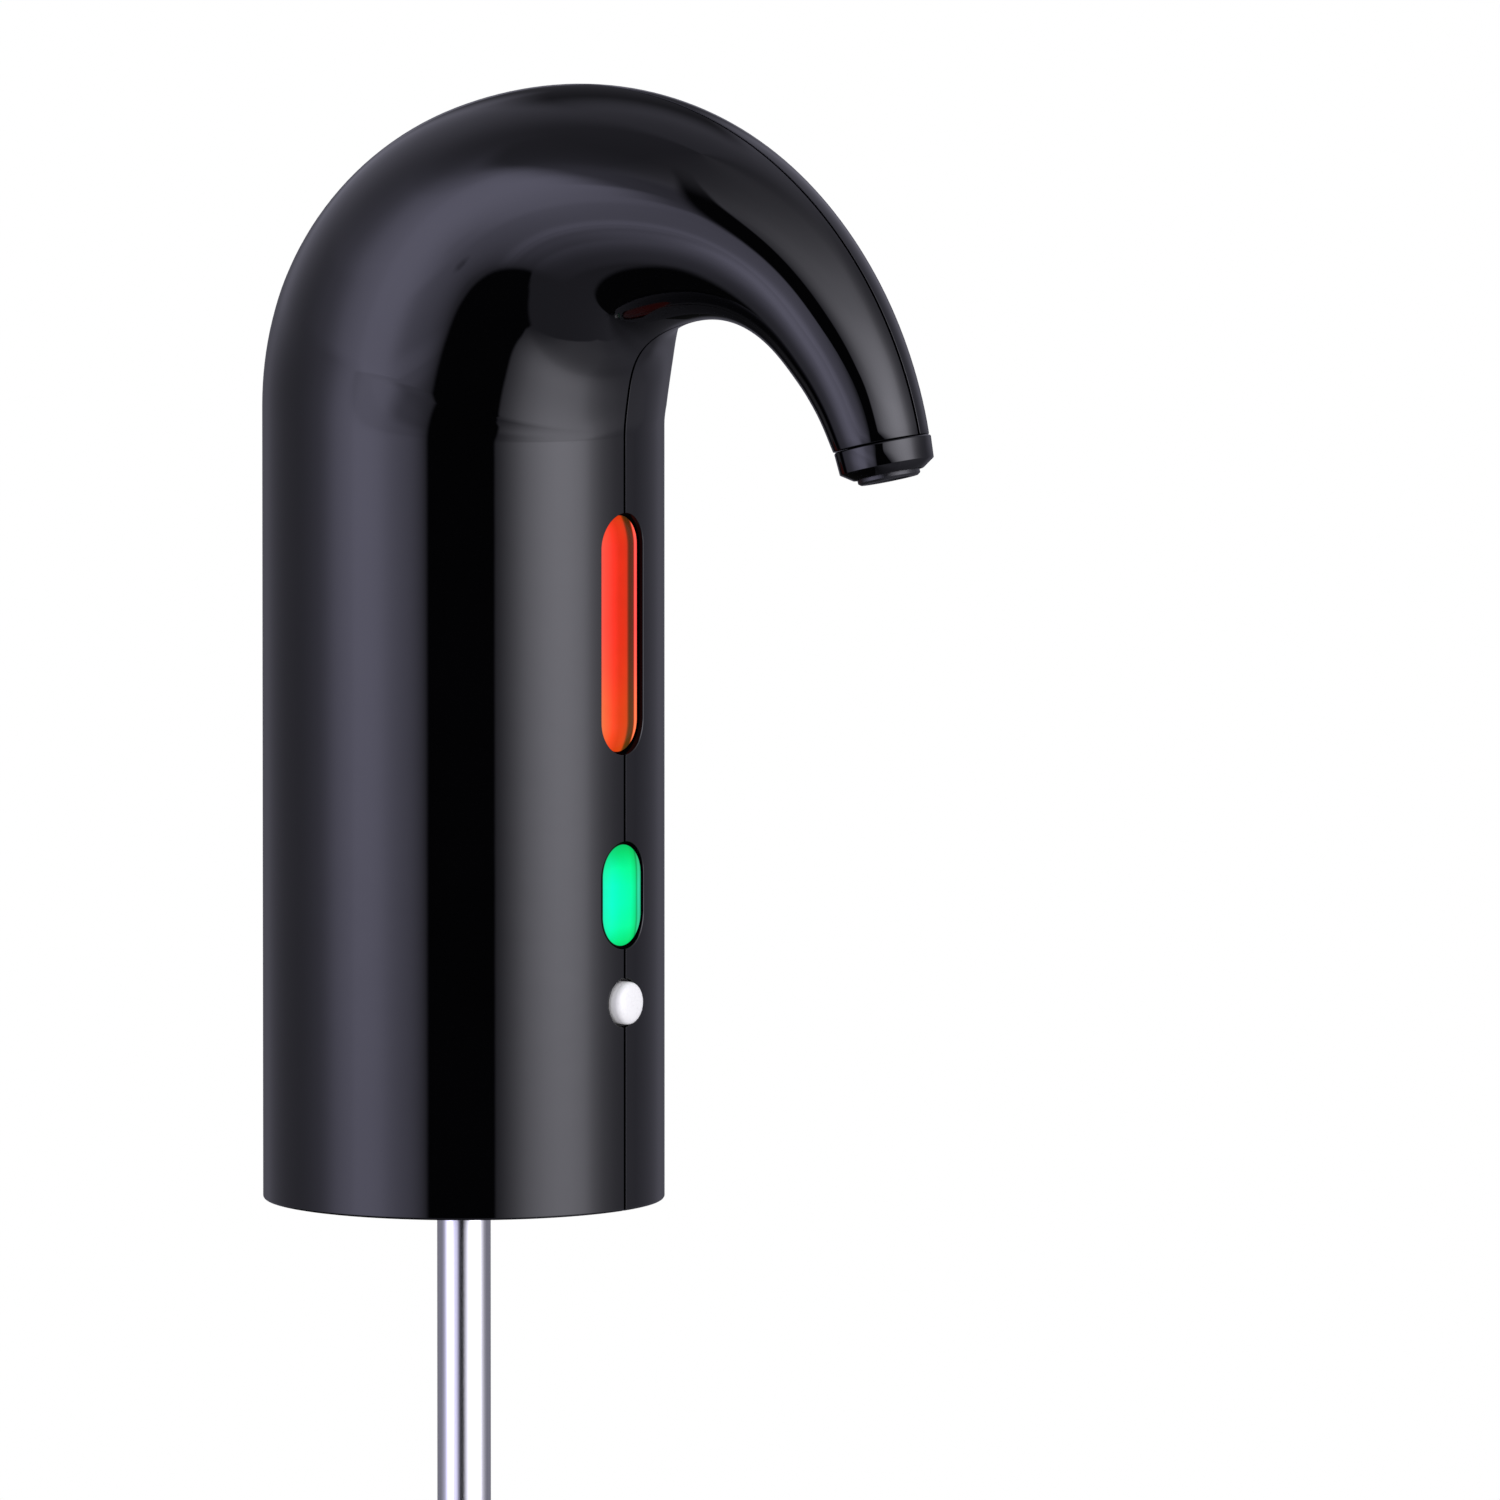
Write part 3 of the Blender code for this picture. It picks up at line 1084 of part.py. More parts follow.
def build_pump():
    """Pump cover and body round two meshed gears, with inlet, outlet, shaft seal and pin."""
    outline = rounded_rectangle(PUMP_HALF_LENGTH, PUMP_HALF_WIDTH, PUMP_CORNER, 4)
    middle = (0.0, -PORT_OFFSET)
    cover_top = PUMP_BOTTOM + PUMP_COVER_THICKNESS
    cover = prism("pump_cover", outline, PUMP_BOTTOM, cover_top, NATURAL_PLASTIC, middle)
    socket = rod("cover_socket", SPIGOT_RADIUS + SEAT_GAP, PUMP_BOTTOM - OVERRUN, SPIGOT_TOP + SEAT_GAP,
                 ROUND_SMALL, MATTE_BLACK)
    port = rod("cover_port", PORT_RADIUS, PUMP_BOTTOM - OVERRUN, cover_top + OVERRUN, ROUND_TINY,
               MATTE_BLACK)
    cut(cover, socket, port)
    body = prism("pump_body", outline, PUMP_BODY_BASE, PUMP_TOP, NATURAL_PLASTIC, middle)
    low = PUMP_BODY_BASE - OVERRUN
    for label, place, twists in (("drive", DRIVE_AXIS, 1), ("idler", IDLER_AXIS, 0)):
        chamber = rod(label + "_chamber", CHAMBER_RADIUS, low, PUMP_CEILING, ROUND_MEDIUM, MATTE_BLACK,
                      place)
        cut(body, twisted(chamber, twists))
    for label, along, twists in (("inlet", 0.0, 1), ("outlet", -2 * PORT_OFFSET, 2)):
        chamber = rod(label + "_chamber", PORT_RADIUS, low, PUMP_CEILING - SEAT_GAP, ROUND_TINY,
                      MATTE_BLACK, (0.0, along))
        cut(body, twisted(chamber, twists))
    elbow_bore = rod("elbow_socket", ELBOW_RADIUS + SEAT_GAP, PORT_RADIUS / 4,
                     PUMP_HALF_WIDTH + OVERRUN - PORT_OFFSET, ROUND_TINY, MATTE_BLACK)
    elbow_bore.rotation_euler = (math.pi / 2, 0.0, 0.0)
    elbow_bore.location = (0.0, -2 * PORT_OFFSET, ELBOW_HEIGHT)
    cut(body, elbow_bore)
    shaft_hole = rod("shaft_hole", SHAFT_RADIUS + RUN_GAP, PUMP_CEILING - OVERRUN, PUMP_TOP + OVERRUN,
                     ROUND_SMALL, MATTE_BLACK, DRIVE_AXIS)
    cut(body, twisted(shaft_hole, 2))
    seal_top = PUMP_TOP - SLIDE_GAP
    seal_floor = seal_top - SEAL_THICKNESS
    cut(body, rod("seal_pocket", SEAL_RADIUS + SLIDE_GAP, seal_floor - SLIDE_GAP, PUMP_TOP + OVERRUN,
                  ROUND_SMALL, MATTE_BLACK, DRIVE_AXIS))
    ring("shaft_seal", SHAFT_RADIUS + RUN_GAP, SEAL_RADIUS, seal_floor, seal_top, ROUND_SMALL, SILICONE,
         DRIVE_AXIS)
    pin_top = PUMP_CEILING + IDLER_PIN_SEAT
    pin_hole = rod("pin_hole", IDLER_PIN_RADIUS + SEAT_GAP, PUMP_CEILING - OVERRUN, pin_top + SEAT_GAP,
                   ROUND_SMALL, MATTE_BLACK, IDLER_AXIS)
    cut(body, twisted(pin_hole))
    rod("idler_pin", IDLER_PIN_RADIUS, GEAR_BASE, pin_top, ROUND_SMALL, STEEL, IDLER_AXIS)
    screw_reach = PUMP_COVER_THICKNESS + SCREW_LENGTH / 2
    for index, spot in enumerate(pump_screw_places()):
        cut(cover, rod(f"cover_hole_{index}", SCREW_SHANK + SEAT_GAP, PUMP_BOTTOM - OVERRUN,
                       cover_top + OVERRUN, ROUND_TINY, MATTE_BLACK, spot))
        cut(body, rod(f"body_hole_{index}", SCREW_SHANK + SLIDE_GAP, low,
                      PUMP_BOTTOM + screw_reach + SEAT_GAP, ROUND_TINY, MATTE_BLACK, spot))
        upright_screw(f"pump_screw_{index + 1}", PUMP_BOTTOM - SEAT_GAP, spot, length=screw_reach)
    drive = gear("drive_gear", DRIVE_AXIS, 0.0)
    shaft = rod("drive_shaft", SHAFT_RADIUS, GEAR_BASE + GEAR_HEIGHT / 2, PUMP_SHAFT_TOP, ROUND_SMALL,
                STEEL, DRIVE_AXIS)
    join(drive, shaft)
    idler = gear("idler_gear", IDLER_AXIS, math.pi / GEAR_TEETH)
    cut(idler, rod("idler_bore", IDLER_PIN_RADIUS + RUN_GAP, GEAR_BASE - OVERRUN, PUMP_CEILING + OVERRUN,
                   ROUND_SMALL, MATTE_BLACK, IDLER_AXIS))


# Motor

def build_motor():
    """Motor on a mount over the pump, its rotor joined to the pump shaft by a coupling."""
    mount_top = MOUNT_BASE + MOUNT_HEIGHT
    plate_floor = mount_top - MOUNT_PLATE
    boss_hole = MOTOR_BOSS_RADIUS + SEAT_GAP
    shoulder = plate_floor - MOUNT_SHOULDER
    place = (*DRIVE_AXIS, 0.0)
    profile = [(MOTOR_RADIUS, mount_top), (MOTOR_RADIUS, plate_floor), (MOUNT_NECK_RADIUS, shoulder)]
    profile += [(MOUNT_NECK_RADIUS, MOUNT_BASE), (MOUNT_CAVITY_RADIUS, MOUNT_BASE)]
    profile += [(MOUNT_CAVITY_RADIUS, plate_floor), (boss_hole, plate_floor), (boss_hole, mount_top)]
    mount = turned("motor_mount", profile, ROUND_SMALL, MATTE_BLACK, place)
    boss_foot = MOTOR_BASE - MOTOR_BOSS
    shaft_hole = MOTOR_SHAFT_RADIUS + RUN_GAP
    inner = MOTOR_RADIUS - MOTOR_WALL
    profile = [(MOTOR_RADIUS, MOTOR_TOP), (MOTOR_RADIUS, MOTOR_BASE + MOTOR_WALL)]
    profile += [(MOTOR_RADIUS - MOTOR_WALL / 2, MOTOR_BASE), (MOTOR_BOSS_RADIUS, MOTOR_BASE)]
    profile += [(MOTOR_BOSS_RADIUS, boss_foot), (shaft_hole, boss_foot)]
    profile += [(shaft_hole, MOTOR_BASE + MOTOR_WALL), (inner, MOTOR_BASE + MOTOR_WALL)]
    profile += [(inner, MOTOR_TOP)]
    can = turned("motor_can", profile, ROUND_SMALL, STEEL, place)
    coupling_base = PUMP_TOP + COUPLING_LIFT
    coupling_top = coupling_base + COUPLING_LENGTH
    split = PUMP_SHAFT_TOP + SEAT_GAP / 2
    profile = [(COUPLING_RADIUS, coupling_top), (COUPLING_RADIUS, coupling_base)]
    profile += [(SHAFT_RADIUS + RUN_GAP, coupling_base), (SHAFT_RADIUS + RUN_GAP, split)]
    profile += [(shaft_hole, split), (shaft_hole, coupling_top)]
    turned("shaft_coupling", profile, ROUND_SMALL, BRASS, place)
    build_rotor(place)
    build_magnets(inner - 2 * SEAT_GAP)
    plug_foot = MOTOR_TOP - ENDCAP_PLUG
    cap_base = MOTOR_TOP + SEAT_GAP
    cap_top = cap_base + ENDCAP_FLANGE
    profile = [(0.0, cap_top + ENDCAP_BOSS), (ENDCAP_BOSS_RADIUS, cap_top + ENDCAP_BOSS)]
    profile += [(ENDCAP_BOSS_RADIUS, cap_top), (MOTOR_RADIUS, cap_top), (MOTOR_RADIUS, cap_base)]
    profile += [(inner - SEAT_GAP, cap_base), (inner - SEAT_GAP, plug_foot)]
    profile += [(ENDCAP_WELL_RADIUS, plug_foot), (ENDCAP_WELL_RADIUS, cap_base)]
    profile += [(shaft_hole, cap_base), (shaft_hole, cap_top), (0.0, cap_top)]
    turned("motor_endcap", profile, ROUND_SMALL, MATTE_BLACK, place)
    for index, side in enumerate((-1, 1)):
        spot = (DRIVE_AXIS[0] + side * MOTOR_SCREW_CIRCLE * math.cos(MOTOR_SCREW_TURN),
                DRIVE_AXIS[1] + side * MOTOR_SCREW_CIRCLE * math.sin(MOTOR_SCREW_TURN))
        cut(mount, rod(f"mount_hole_{index}", SMALL_SHANK + SLIDE_GAP, plate_floor - OVERRUN / 2,
                       mount_top + OVERRUN / 2, ROUND_TINY, MATTE_BLACK, spot))
        reach = MOUNT_PLATE + MOTOR_WALL
        cut(can, rod(f"can_hole_{index}", SMALL_SHANK + SLIDE_GAP, MOTOR_BASE - OVERRUN / 2,
                     MOTOR_BASE + MOTOR_WALL + OVERRUN / 2, ROUND_TINY, MATTE_BLACK, spot))
        upright_screw(f"motor_screw_{index + 1}", plate_floor - SEAT_GAP, spot, SMALL_SHANK, SMALL_HEAD,
                      SMALL_HEAD_HEIGHT, reach + SEAT_GAP)


def build_rotor(place):
    """Motor shaft with its armature and commutator."""
    shaft_foot = PUMP_SHAFT_TOP + SEAT_GAP
    shaft_top = MOTOR_TOP + ENDCAP_FLANGE
    hub_foot = ARMATURE_BASE - ROTOR_HUB_LENGTH
    commutator_foot = ARMATURE_TOP + ROTOR_HUB_LENGTH
    commutator_top = commutator_foot + COMMUTATOR_LENGTH
    profile = [(0.0, shaft_top), (MOTOR_SHAFT_RADIUS, shaft_top), (MOTOR_SHAFT_RADIUS, commutator_top)]
    profile += [(COMMUTATOR_RADIUS, commutator_top), (COMMUTATOR_RADIUS, commutator_foot)]
    profile += [(ROTOR_HUB_RADIUS, commutator_foot), (ROTOR_HUB_RADIUS, ARMATURE_TOP)]
    profile += [(ARMATURE_RADIUS, ARMATURE_TOP), (ARMATURE_RADIUS, ARMATURE_BASE)]
    profile += [(ROTOR_HUB_RADIUS, ARMATURE_BASE), (ROTOR_HUB_RADIUS, hub_foot)]
    profile += [(MOTOR_SHAFT_RADIUS, hub_foot), (MOTOR_SHAFT_RADIUS, shaft_foot), (0.0, shaft_foot)]
    turned("motor_rotor", profile, ROUND_SMALL, COPPER, place)


def build_magnets(outer):
    """Two curved magnets against the can, front and back of the armature."""
    low = ARMATURE_BASE - (MAGNET_LENGTH - ARMATURE_LENGTH) / 2
    for name, middle in (("motor_magnet_front", 0.0), ("motor_magnet_back", math.pi)):
        outline = []
        for radius, sweep in ((outer, 1), (outer - MAGNET_THICKNESS, -1)):
            for step in range(ROUND_TINY + 1):
                share = 2 * step / ROUND_TINY - 1
                angle = middle + sweep * share * MAGNET_HALF_SWEEP
                outline.append((radius * math.cos(angle), radius * math.sin(angle)))
        prism(name, outline, low, low + MAGNET_LENGTH, FERRITE, DRIVE_AXIS)


# Outlet

def build_outlet():
    """Elbow from the pump, the hose through the bend of the housing, and two clips."""
    start_y = -PORT_OFFSET - PUMP_HALF_WIDTH + ELBOW_SEAT
    bend_y = ELBOW_AXIS_Y + ELBOW_BEND
    points = [Vector((0.0, start_y, ELBOW_HEIGHT))]
    for step in range(BEND_STEPS + 1):
        turn = math.pi / 2 * step / BEND_STEPS
        points.append(Vector((0.0, bend_y - ELBOW_BEND * math.sin(turn),
                              ELBOW_HEIGHT + ELBOW_BEND * (1 - math.cos(turn)))))
    points.append(Vector((0.0, ELBOW_AXIS_Y, ELBOW_TOP - NOZZLE_BARB)))
    points.append(Vector((0.0, ELBOW_AXIS_Y, ELBOW_TOP)))
    radii = [ELBOW_RADIUS] * (len(points) - 1) + [ELBOW_RADIUS - NOZZLE_BARB_TAPER]
    pipe("outlet_elbow", points, radii, ELBOW_BORE, ROUND_TINY, NATURAL_PLASTIC)
    route = hose_route()
    pipe("outlet_hose", route, [HOSE_RADIUS] * len(route), HOSE_BORE, ROUND_TINY, SILICONE)
    clip_low = ELBOW_TOP - HOSE_OVERLAP + CLIP_INSET
    ring("hose_clip_pump", HOSE_RADIUS + SLIDE_GAP, CLIP_RADIUS, clip_low, clip_low + CLIP_WIDTH,
         ROUND_SMALL, STEEL, (0.0, ELBOW_AXIS_Y))
    clip = ring("hose_clip_nozzle", HOSE_RADIUS + SLIDE_GAP, CLIP_RADIUS, NOZZLE_SHOULDER + 2 * SEAT_GAP,
                NOZZLE_SHOULDER + 2 * SEAT_GAP + CLIP_WIDTH, ROUND_SMALL, STEEL)
    clip.matrix_world = spout_frame()


def spout_frame():
    """Frame at the centre of the spout's end, its local +Z back up the spout."""
    centre, towards_back, _ = section(1.0)
    up_spout = towards_back.cross(Vector((0.0, 1.0, 0.0))).normalized()
    if up_spout.z < 0:
        up_spout = -up_spout
    across = Vector((0.0, 1.0, 0.0)).cross(up_spout)
    turn = Matrix((across, Vector((0.0, 1.0, 0.0)), up_spout)).transposed().to_4x4()
    return Matrix.Translation(centre) @ turn


def hose_route():
    """Smooth route: up beside the motor, along the middle of the bend, and onto the nozzle."""
    low = ELBOW_TOP - HOSE_OVERLAP
    frame = spout_frame()
    guides = [Vector((0.0, ELBOW_AXIS_Y, low)), Vector((0.0, ELBOW_AXIS_Y, low + HOSE_OVERLAP))]
    guides.append(Vector((0.0, ELBOW_AXIS_Y, (low + STRAIGHT_HEIGHT) / 2)))
    guides.append(Vector((0.0, ELBOW_AXIS_Y, STRAIGHT_HEIGHT - HOSE_RADIUS)))
    for share in HOSE_GUIDE_shares:
        centre, _, _ = section(share)
        sideways = ELBOW_AXIS_Y * (1 - share) ** 2
        guides.append(centre + Vector((0.0, sideways, 0.0)))
    hose_end = NOZZLE_SHOULDER + SEAT_GAP
    for steps_up in (2, 1, 0):
        guides.append(frame @ Vector((0.0, 0.0, hose_end + HOSE_OVERLAP * steps_up)))
    return smooth_points(guides, HOSE_POINTS)


def smooth_points(guides, count):
    """Points on a smooth curve through the guides, spread evenly by guide."""
    padded = [2 * guides[0] - guides[1]] + guides + [2 * guides[-1] - guides[-2]]
    points = []
    spans = len(guides) - 1
    for index in range(count):
        place = spans * index / (count - 1)
        span = min(int(place), spans - 1)
        local = place - span
        before, start, end, after = padded[span:span + 4]
        pull_in = (end - before) / 2
        pull_out = (after - start) / 2
        square = local * local
        cube = square * local
        points.append(start * (2 * cube - 3 * square + 1) + pull_in * (cube - 2 * square + local)
                      + end * (3 * square - 2 * cube) + pull_out * (cube - square))
    return points


def build_spout_end():
    """Ring on the spout's end, and the nozzle inside it with its seal."""
    frame = spout_frame()
    tip_radius = section(1.0)[2]
    sleeve = tip_radius - TIP_WALL - SEAT_GAP
    ring_radius = tip_radius - RING_INSET
    ring_bore = sleeve - RING_WALL
    top = -SEAT_GAP
    low = top - RING_HEIGHT
    profile = [(sleeve, RING_SLEEVE), (sleeve, top), (ring_radius - RING_STEP, top)]
    profile += [(ring_radius, top - RING_STEP), (ring_radius, low + RING_CHAMFER)]
    profile += [(ring_radius - RING_CHAMFER, low), (ring_bore, low), (ring_bore, RING_SLEEVE)]
    end_ring = turned("spout_ring", profile, ROUND_MEDIUM, GLOSS_BLACK)
    end_ring.matrix_world = frame
    body = ring_bore - SEAT_GAP
    outlet_low = low - NOZZLE_PROUD
    barb_top = NOZZLE_SHOULDER + NOZZLE_BARB
    groove = body - NOZZLE_GROOVE_DEPTH
    groove_low = NOZZLE_SEAL_HEIGHT - NOZZLE_SEAL_WIRE - SLIDE_GAP
    groove_high = NOZZLE_SEAL_HEIGHT + NOZZLE_SEAL_WIRE + SLIDE_GAP
    outlet_roof = outlet_low + NOZZLE_OUTLET_DEPTH
    profile = [(NOZZLE_BARB_RADIUS - NOZZLE_BARB_TAPER, barb_top)]
    profile += [(NOZZLE_BARB_RADIUS, barb_top - NOZZLE_BARB / 2)]
    profile += [(NOZZLE_BARB_RADIUS, NOZZLE_SHOULDER), (body, NOZZLE_SHOULDER), (body, groove_high)]
    profile += [(groove, groove_high), (groove, groove_low), (body, groove_low)]
    profile += [(body, outlet_low + RING_STEP), (body - RING_STEP, outlet_low), (NOZZLE_OUTLET, outlet_low)]
    profile += [(NOZZLE_OUTLET, outlet_roof), (NOZZLE_BORE, outlet_roof + NOZZLE_BORE)]
    profile += [(NOZZLE_BORE, barb_top)]
    nozzle = turned("nozzle", profile, ROUND_SMALL, MATTE_BLACK)
    nozzle.matrix_world = frame
    middle = groove + SLIDE_GAP + NOZZLE_SEAL_WIRE
    wire = []
    for step in range(ROUND_TINY):
        angle = -2 * math.pi * step / ROUND_TINY
        wire.append((middle + NOZZLE_SEAL_WIRE * math.cos(angle),
                     NOZZLE_SEAL_HEIGHT + NOZZLE_SEAL_WIRE * math.sin(angle)))
    seal = turned("nozzle_seal", wire, ROUND_SMALL, SILICONE)
    seal.matrix_world = frame


# Battery

def build_battery():
    """A round cell in an open holder against the back wall, with a contact at each end."""
    place = (CELL_PLACE, 0.0)
    body_top = CELL_TOP - CELL_NUB
    profile = [(0.0, CELL_TOP), (CELL_NUB_RADIUS, CELL_TOP), (CELL_NUB_RADIUS, body_top)]
    profile += [(CELL_RADIUS - CELL_EDGE, body_top), (CELL_RADIUS, body_top - CELL_EDGE)]
    profile += [(CELL_RADIUS, CELL_BASE + CELL_EDGE), (CELL_RADIUS - CELL_EDGE, CELL_BASE)]
    profile += [(0.0, CELL_BASE)]
    turned("battery_cell", profile, ROUND_MEDIUM, CELL_WRAP, (*place, 0.0))
    holder = rod("battery_holder", HOLDER_RADIUS, HOLDER_BOTTOM, HOLDER_TOP, ROUND_MEDIUM, MATTE_BLACK,
                 place)
    inside_low = HOLDER_BOTTOM + HOLDER_END
    inside_high = HOLDER_TOP - HOLDER_END
    cut(holder, rod("holder_inside", CELL_RADIUS + SEAT_GAP, inside_low, inside_high, ROUND_MEDIUM,
                    MATTE_BLACK, place))
    mouth = CELL_PLACE + CELL_RADIUS * HOLDER_MOUTH_share
    reach = HOLDER_RADIUS + OVERRUN
    cut(holder, box("holder_mouth", (mouth, -reach, HOLDER_BOTTOM - OVERRUN),
                    (CELL_PLACE + reach, reach, HOLDER_TOP + OVERRUN), MATTE_BLACK))
    half = CONTACT_SIZE / 2
    for name, low in (("battery_contact_negative", inside_low + SEAT_GAP),
                      ("battery_contact_positive", CELL_TOP + SEAT_GAP)):
        box(name, (CELL_PLACE - half, -half, low), (CELL_PLACE + half, half, low + CONTACT_THICKNESS),
            STEEL)


# Control board

def build_board():
    """Board on four bosses, with a switch behind each control and LEDs behind the lenses."""
    back = BOARD_FACE - BOARD_THICKNESS
    board = box("control_board", (back, -BOARD_HALF_WIDTH, BOARD_BOTTOM),
                (BOARD_FACE, BOARD_HALF_WIDTH, BOARD_TOP), BOARD_GREEN)
    for number, side in enumerate((-1, 1)):
        across, height = board_hole_places(side)[0]
        hole = rod(f"board_hole_{number}", SMALL_SHANK + SEAT_GAP, back - OVERRUN, BOARD_FACE + OVERRUN,
                   ROUND_TINY, MATTE_BLACK)
        cut(board, lay_along_x(hole, (0.0, across, height)))
        screw = upright_screw(f"board_screw_{number + 1}", back - SEAT_GAP, (0.0, 0.0), SMALL_SHANK,
                              SMALL_HEAD, SMALL_HEAD_HEIGHT, SMALL_LENGTH)
        lay_along_x(screw, (0.0, across, height))
    half = SWITCH_SIZE / 2
    heights = (("pour", POUR_KEY_HEIGHT), ("aerate", AERATE_KEY_HEIGHT), ("power", POWER_BUTTON_HEIGHT))
    for label, height in heights:
        switch = box(label + "_switch", (SWITCH_BASE, -half, height - half),
                     (SWITCH_TOP, half, height + half), MATTE_BLACK)
        well = rod(label + "_switch_well", SWITCH_PLUNGER_RADIUS + SLIDE_GAP, SWITCH_TOP - SWITCH_WELL,
                   SWITCH_TOP + OVERRUN, ROUND_TINY, MATTE_BLACK)
        cut(switch, lay_along_x(well, (0.0, 0.0, height)))
    places = (("pour_led_upper", POUR_KEY_HEIGHT + POUR_LED_OFFSET),
              ("pour_led_lower", POUR_KEY_HEIGHT - POUR_LED_OFFSET),
              ("aerate_led", AERATE_KEY_HEIGHT + AERATE_LED_OFFSET))
    for name, height in places:
        box(name, (SWITCH_BASE, -LED_WIDTH / 2, height - LED_LENGTH / 2),
            (SWITCH_BASE + LED_HEIGHT, LED_WIDTH / 2, height + LED_LENGTH / 2), LED_RESIN)


# Charging socket

def build_charge_port():
    """Charging socket low on the back, on a small board that stands on the base cover's posts."""
    mouth = -BODY_RADIUS + CHARGE_RECESS
    half_height = CHARGE_THICKNESS / 2
    half_straight = CHARGE_WIDTH / 2 - half_height
    inner_back = mouth + CHARGE_DEPTH - CHARGE_SHELL
    steps = KEY_END_SEGMENTS // 2
    shell_outline = stadium(half_height, half_straight, steps)
    inner_outline = stadium(half_height - CHARGE_SHELL, half_straight, steps)
    tongue_half = CHARGE_TONGUE_THICKNESS / 2
    tongue_outline = stadium(tongue_half, half_straight * CHARGE_TONGUE_share, steps)
    tongue_front = mouth + CHARGE_SHELL
    rings = [[(mouth + CHARGE_DEPTH, along, across) for across, along in shell_outline]]
    rings.append([(mouth, along, across) for across, along in shell_outline])
    rings.append([(mouth, along, across) for across, along in inner_outline])
    rings.append([(inner_back, along, across) for across, along in inner_outline])
    rings.append([(inner_back, along, across) for across, along in tongue_outline])
    rings.append([(tongue_front, along, across) for across, along in tongue_outline])
    loft("charge_port", rings, STEEL, (0.0, 0.0, CHARGE_HEIGHT))
    board_top = CHARGE_HEIGHT - half_height - SEAT_GAP
    front = mouth + CHARGE_BOARD_DEPTH + CHARGE_RECESS
    back = -math.sqrt((INNER_RADIUS - SEAT_GAP) ** 2 - CHARGE_BOARD_HALF_WIDTH ** 2)
    box("charge_board", (back, -CHARGE_BOARD_HALF_WIDTH, board_top - CHARGE_BOARD_THICKNESS),
        (front, CHARGE_BOARD_HALF_WIDTH, board_top), BOARD_GREEN)


build_housing()
build_controls()
build_base()
build_inlet()
build_pump()
build_motor()
build_outlet()
build_spout_end()
build_battery()
build_board()
build_charge_port()

for part in PARTS.objects:
    part.data.shade_smooth()
    part.data.set_sharp_from_angle(angle=SMOOTH_ANGLE)
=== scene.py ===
import json
import math

import bmesh
import bpy
from mathutils import Matrix, Vector, kdtree


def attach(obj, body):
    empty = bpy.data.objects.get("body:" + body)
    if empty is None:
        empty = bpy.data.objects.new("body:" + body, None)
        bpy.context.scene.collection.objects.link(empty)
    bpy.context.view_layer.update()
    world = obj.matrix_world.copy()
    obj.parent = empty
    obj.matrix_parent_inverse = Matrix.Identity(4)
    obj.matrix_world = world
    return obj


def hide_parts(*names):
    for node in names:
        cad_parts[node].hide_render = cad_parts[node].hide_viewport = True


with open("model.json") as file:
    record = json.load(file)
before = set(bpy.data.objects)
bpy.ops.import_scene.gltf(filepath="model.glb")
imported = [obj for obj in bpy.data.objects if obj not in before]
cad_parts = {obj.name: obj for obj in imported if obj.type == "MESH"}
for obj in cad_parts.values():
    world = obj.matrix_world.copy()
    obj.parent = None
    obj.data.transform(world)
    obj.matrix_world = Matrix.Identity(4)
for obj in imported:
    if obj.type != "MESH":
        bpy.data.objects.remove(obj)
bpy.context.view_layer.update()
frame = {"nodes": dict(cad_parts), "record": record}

# Everything is in metres, in the CAD model's frame. +X is the way the spout points.

# Housing, side view, with the same values as the CAD; its back starts with an arc of (radius, sweep)
BODY_RADIUS = 0.0300
STRAIGHT_HEIGHT = 0.1158
BACK_RISE = 0.0034
BACK_ARC = (0.0486, math.radians(69.2))
TIP_RADIUS = 0.00767
TIP_LEAN = math.radians(14.09)
ARCH_RADIUS = 0.0190
ARCH_SWEEP = math.radians(155)
ARCH_RUN = 0.0088
ARCH_EXPONENT = 1.95
WALL = 0.0022
TIP_WALL = 0.0018
INNER_RADIUS = BODY_RADIUS - WALL

# How far the shown outlines stand outside the CAD's arcs, so that they follow the photograph's edges: the
# weights of cubic B-splines spread evenly along each outline
BACK_TRIM = (
    0, 0, -0.00007, -0.00038, -0.00068, -0.00059, -0.00045, -0.0004, -0.00049, -0.0006, -0.0006, -0.0006,
)
ARCH_TRIM = (0, 0, -0.0020, -0.00083, 0.00014, 0.0004, 0.00068, 0.00115, 0.00133, -0.0002, -0.0002, -0.0002)

# Seam between the halves, and the room that pieces leave each other
SEAM_HALF_GAP = 0.0002
LIP_REACH = 0.0012
SEAT_GAP = 0.0003
SLIDE_GAP = 0.00015

# Edge roundings
RIM_ROUNDING = 0.0004
TIP_ROUNDING = 0.00015
SEAM_ROUNDING = {1: 0.00008, -1: 0.00022}
OPENING_ROUNDING = 0.00022
EDGE_ROUNDING = 0.00015
CORNER_SHARE = 0.4
FLAT_CORNER = math.radians(160)

# Fineness of the shown shapes
STRAIGHT_RINGS = 36
BEND_RINGS = 96
OUTER_STEPS = 72
INNER_STEPS = 24
CORNER_STEPS = 4
QUARTER_TURN = [math.pi / 2 * step / CORNER_STEPS for step in range(CORNER_STEPS + 1)]
FLARE_STEPS = 3
CROWN_STEPS = 14
RIB_STEPS = 12
TURN_STEPS = 96
SMALL_TURN_STEPS = 48
PILL_END_STEPS = 28
WELD_DISTANCE = 0.000001
SHARP_ANGLE = 35
KEY_SHARP_ANGLE = 40

# A corner of a shell counts as part of its outer wall within these distances and this far round
WALL_TOLERANCE = 0.00002
POINT_TOLERANCE = 0.000005
FACING = 0.95

# Cutters
CUTTER_BEHIND = 0.003
CUTTER_PAST = 0.002
OPENING_FLARE = 0.0006
FLARE_ANGLE = math.radians(60)
NEARLY_ROUND = 0.00005

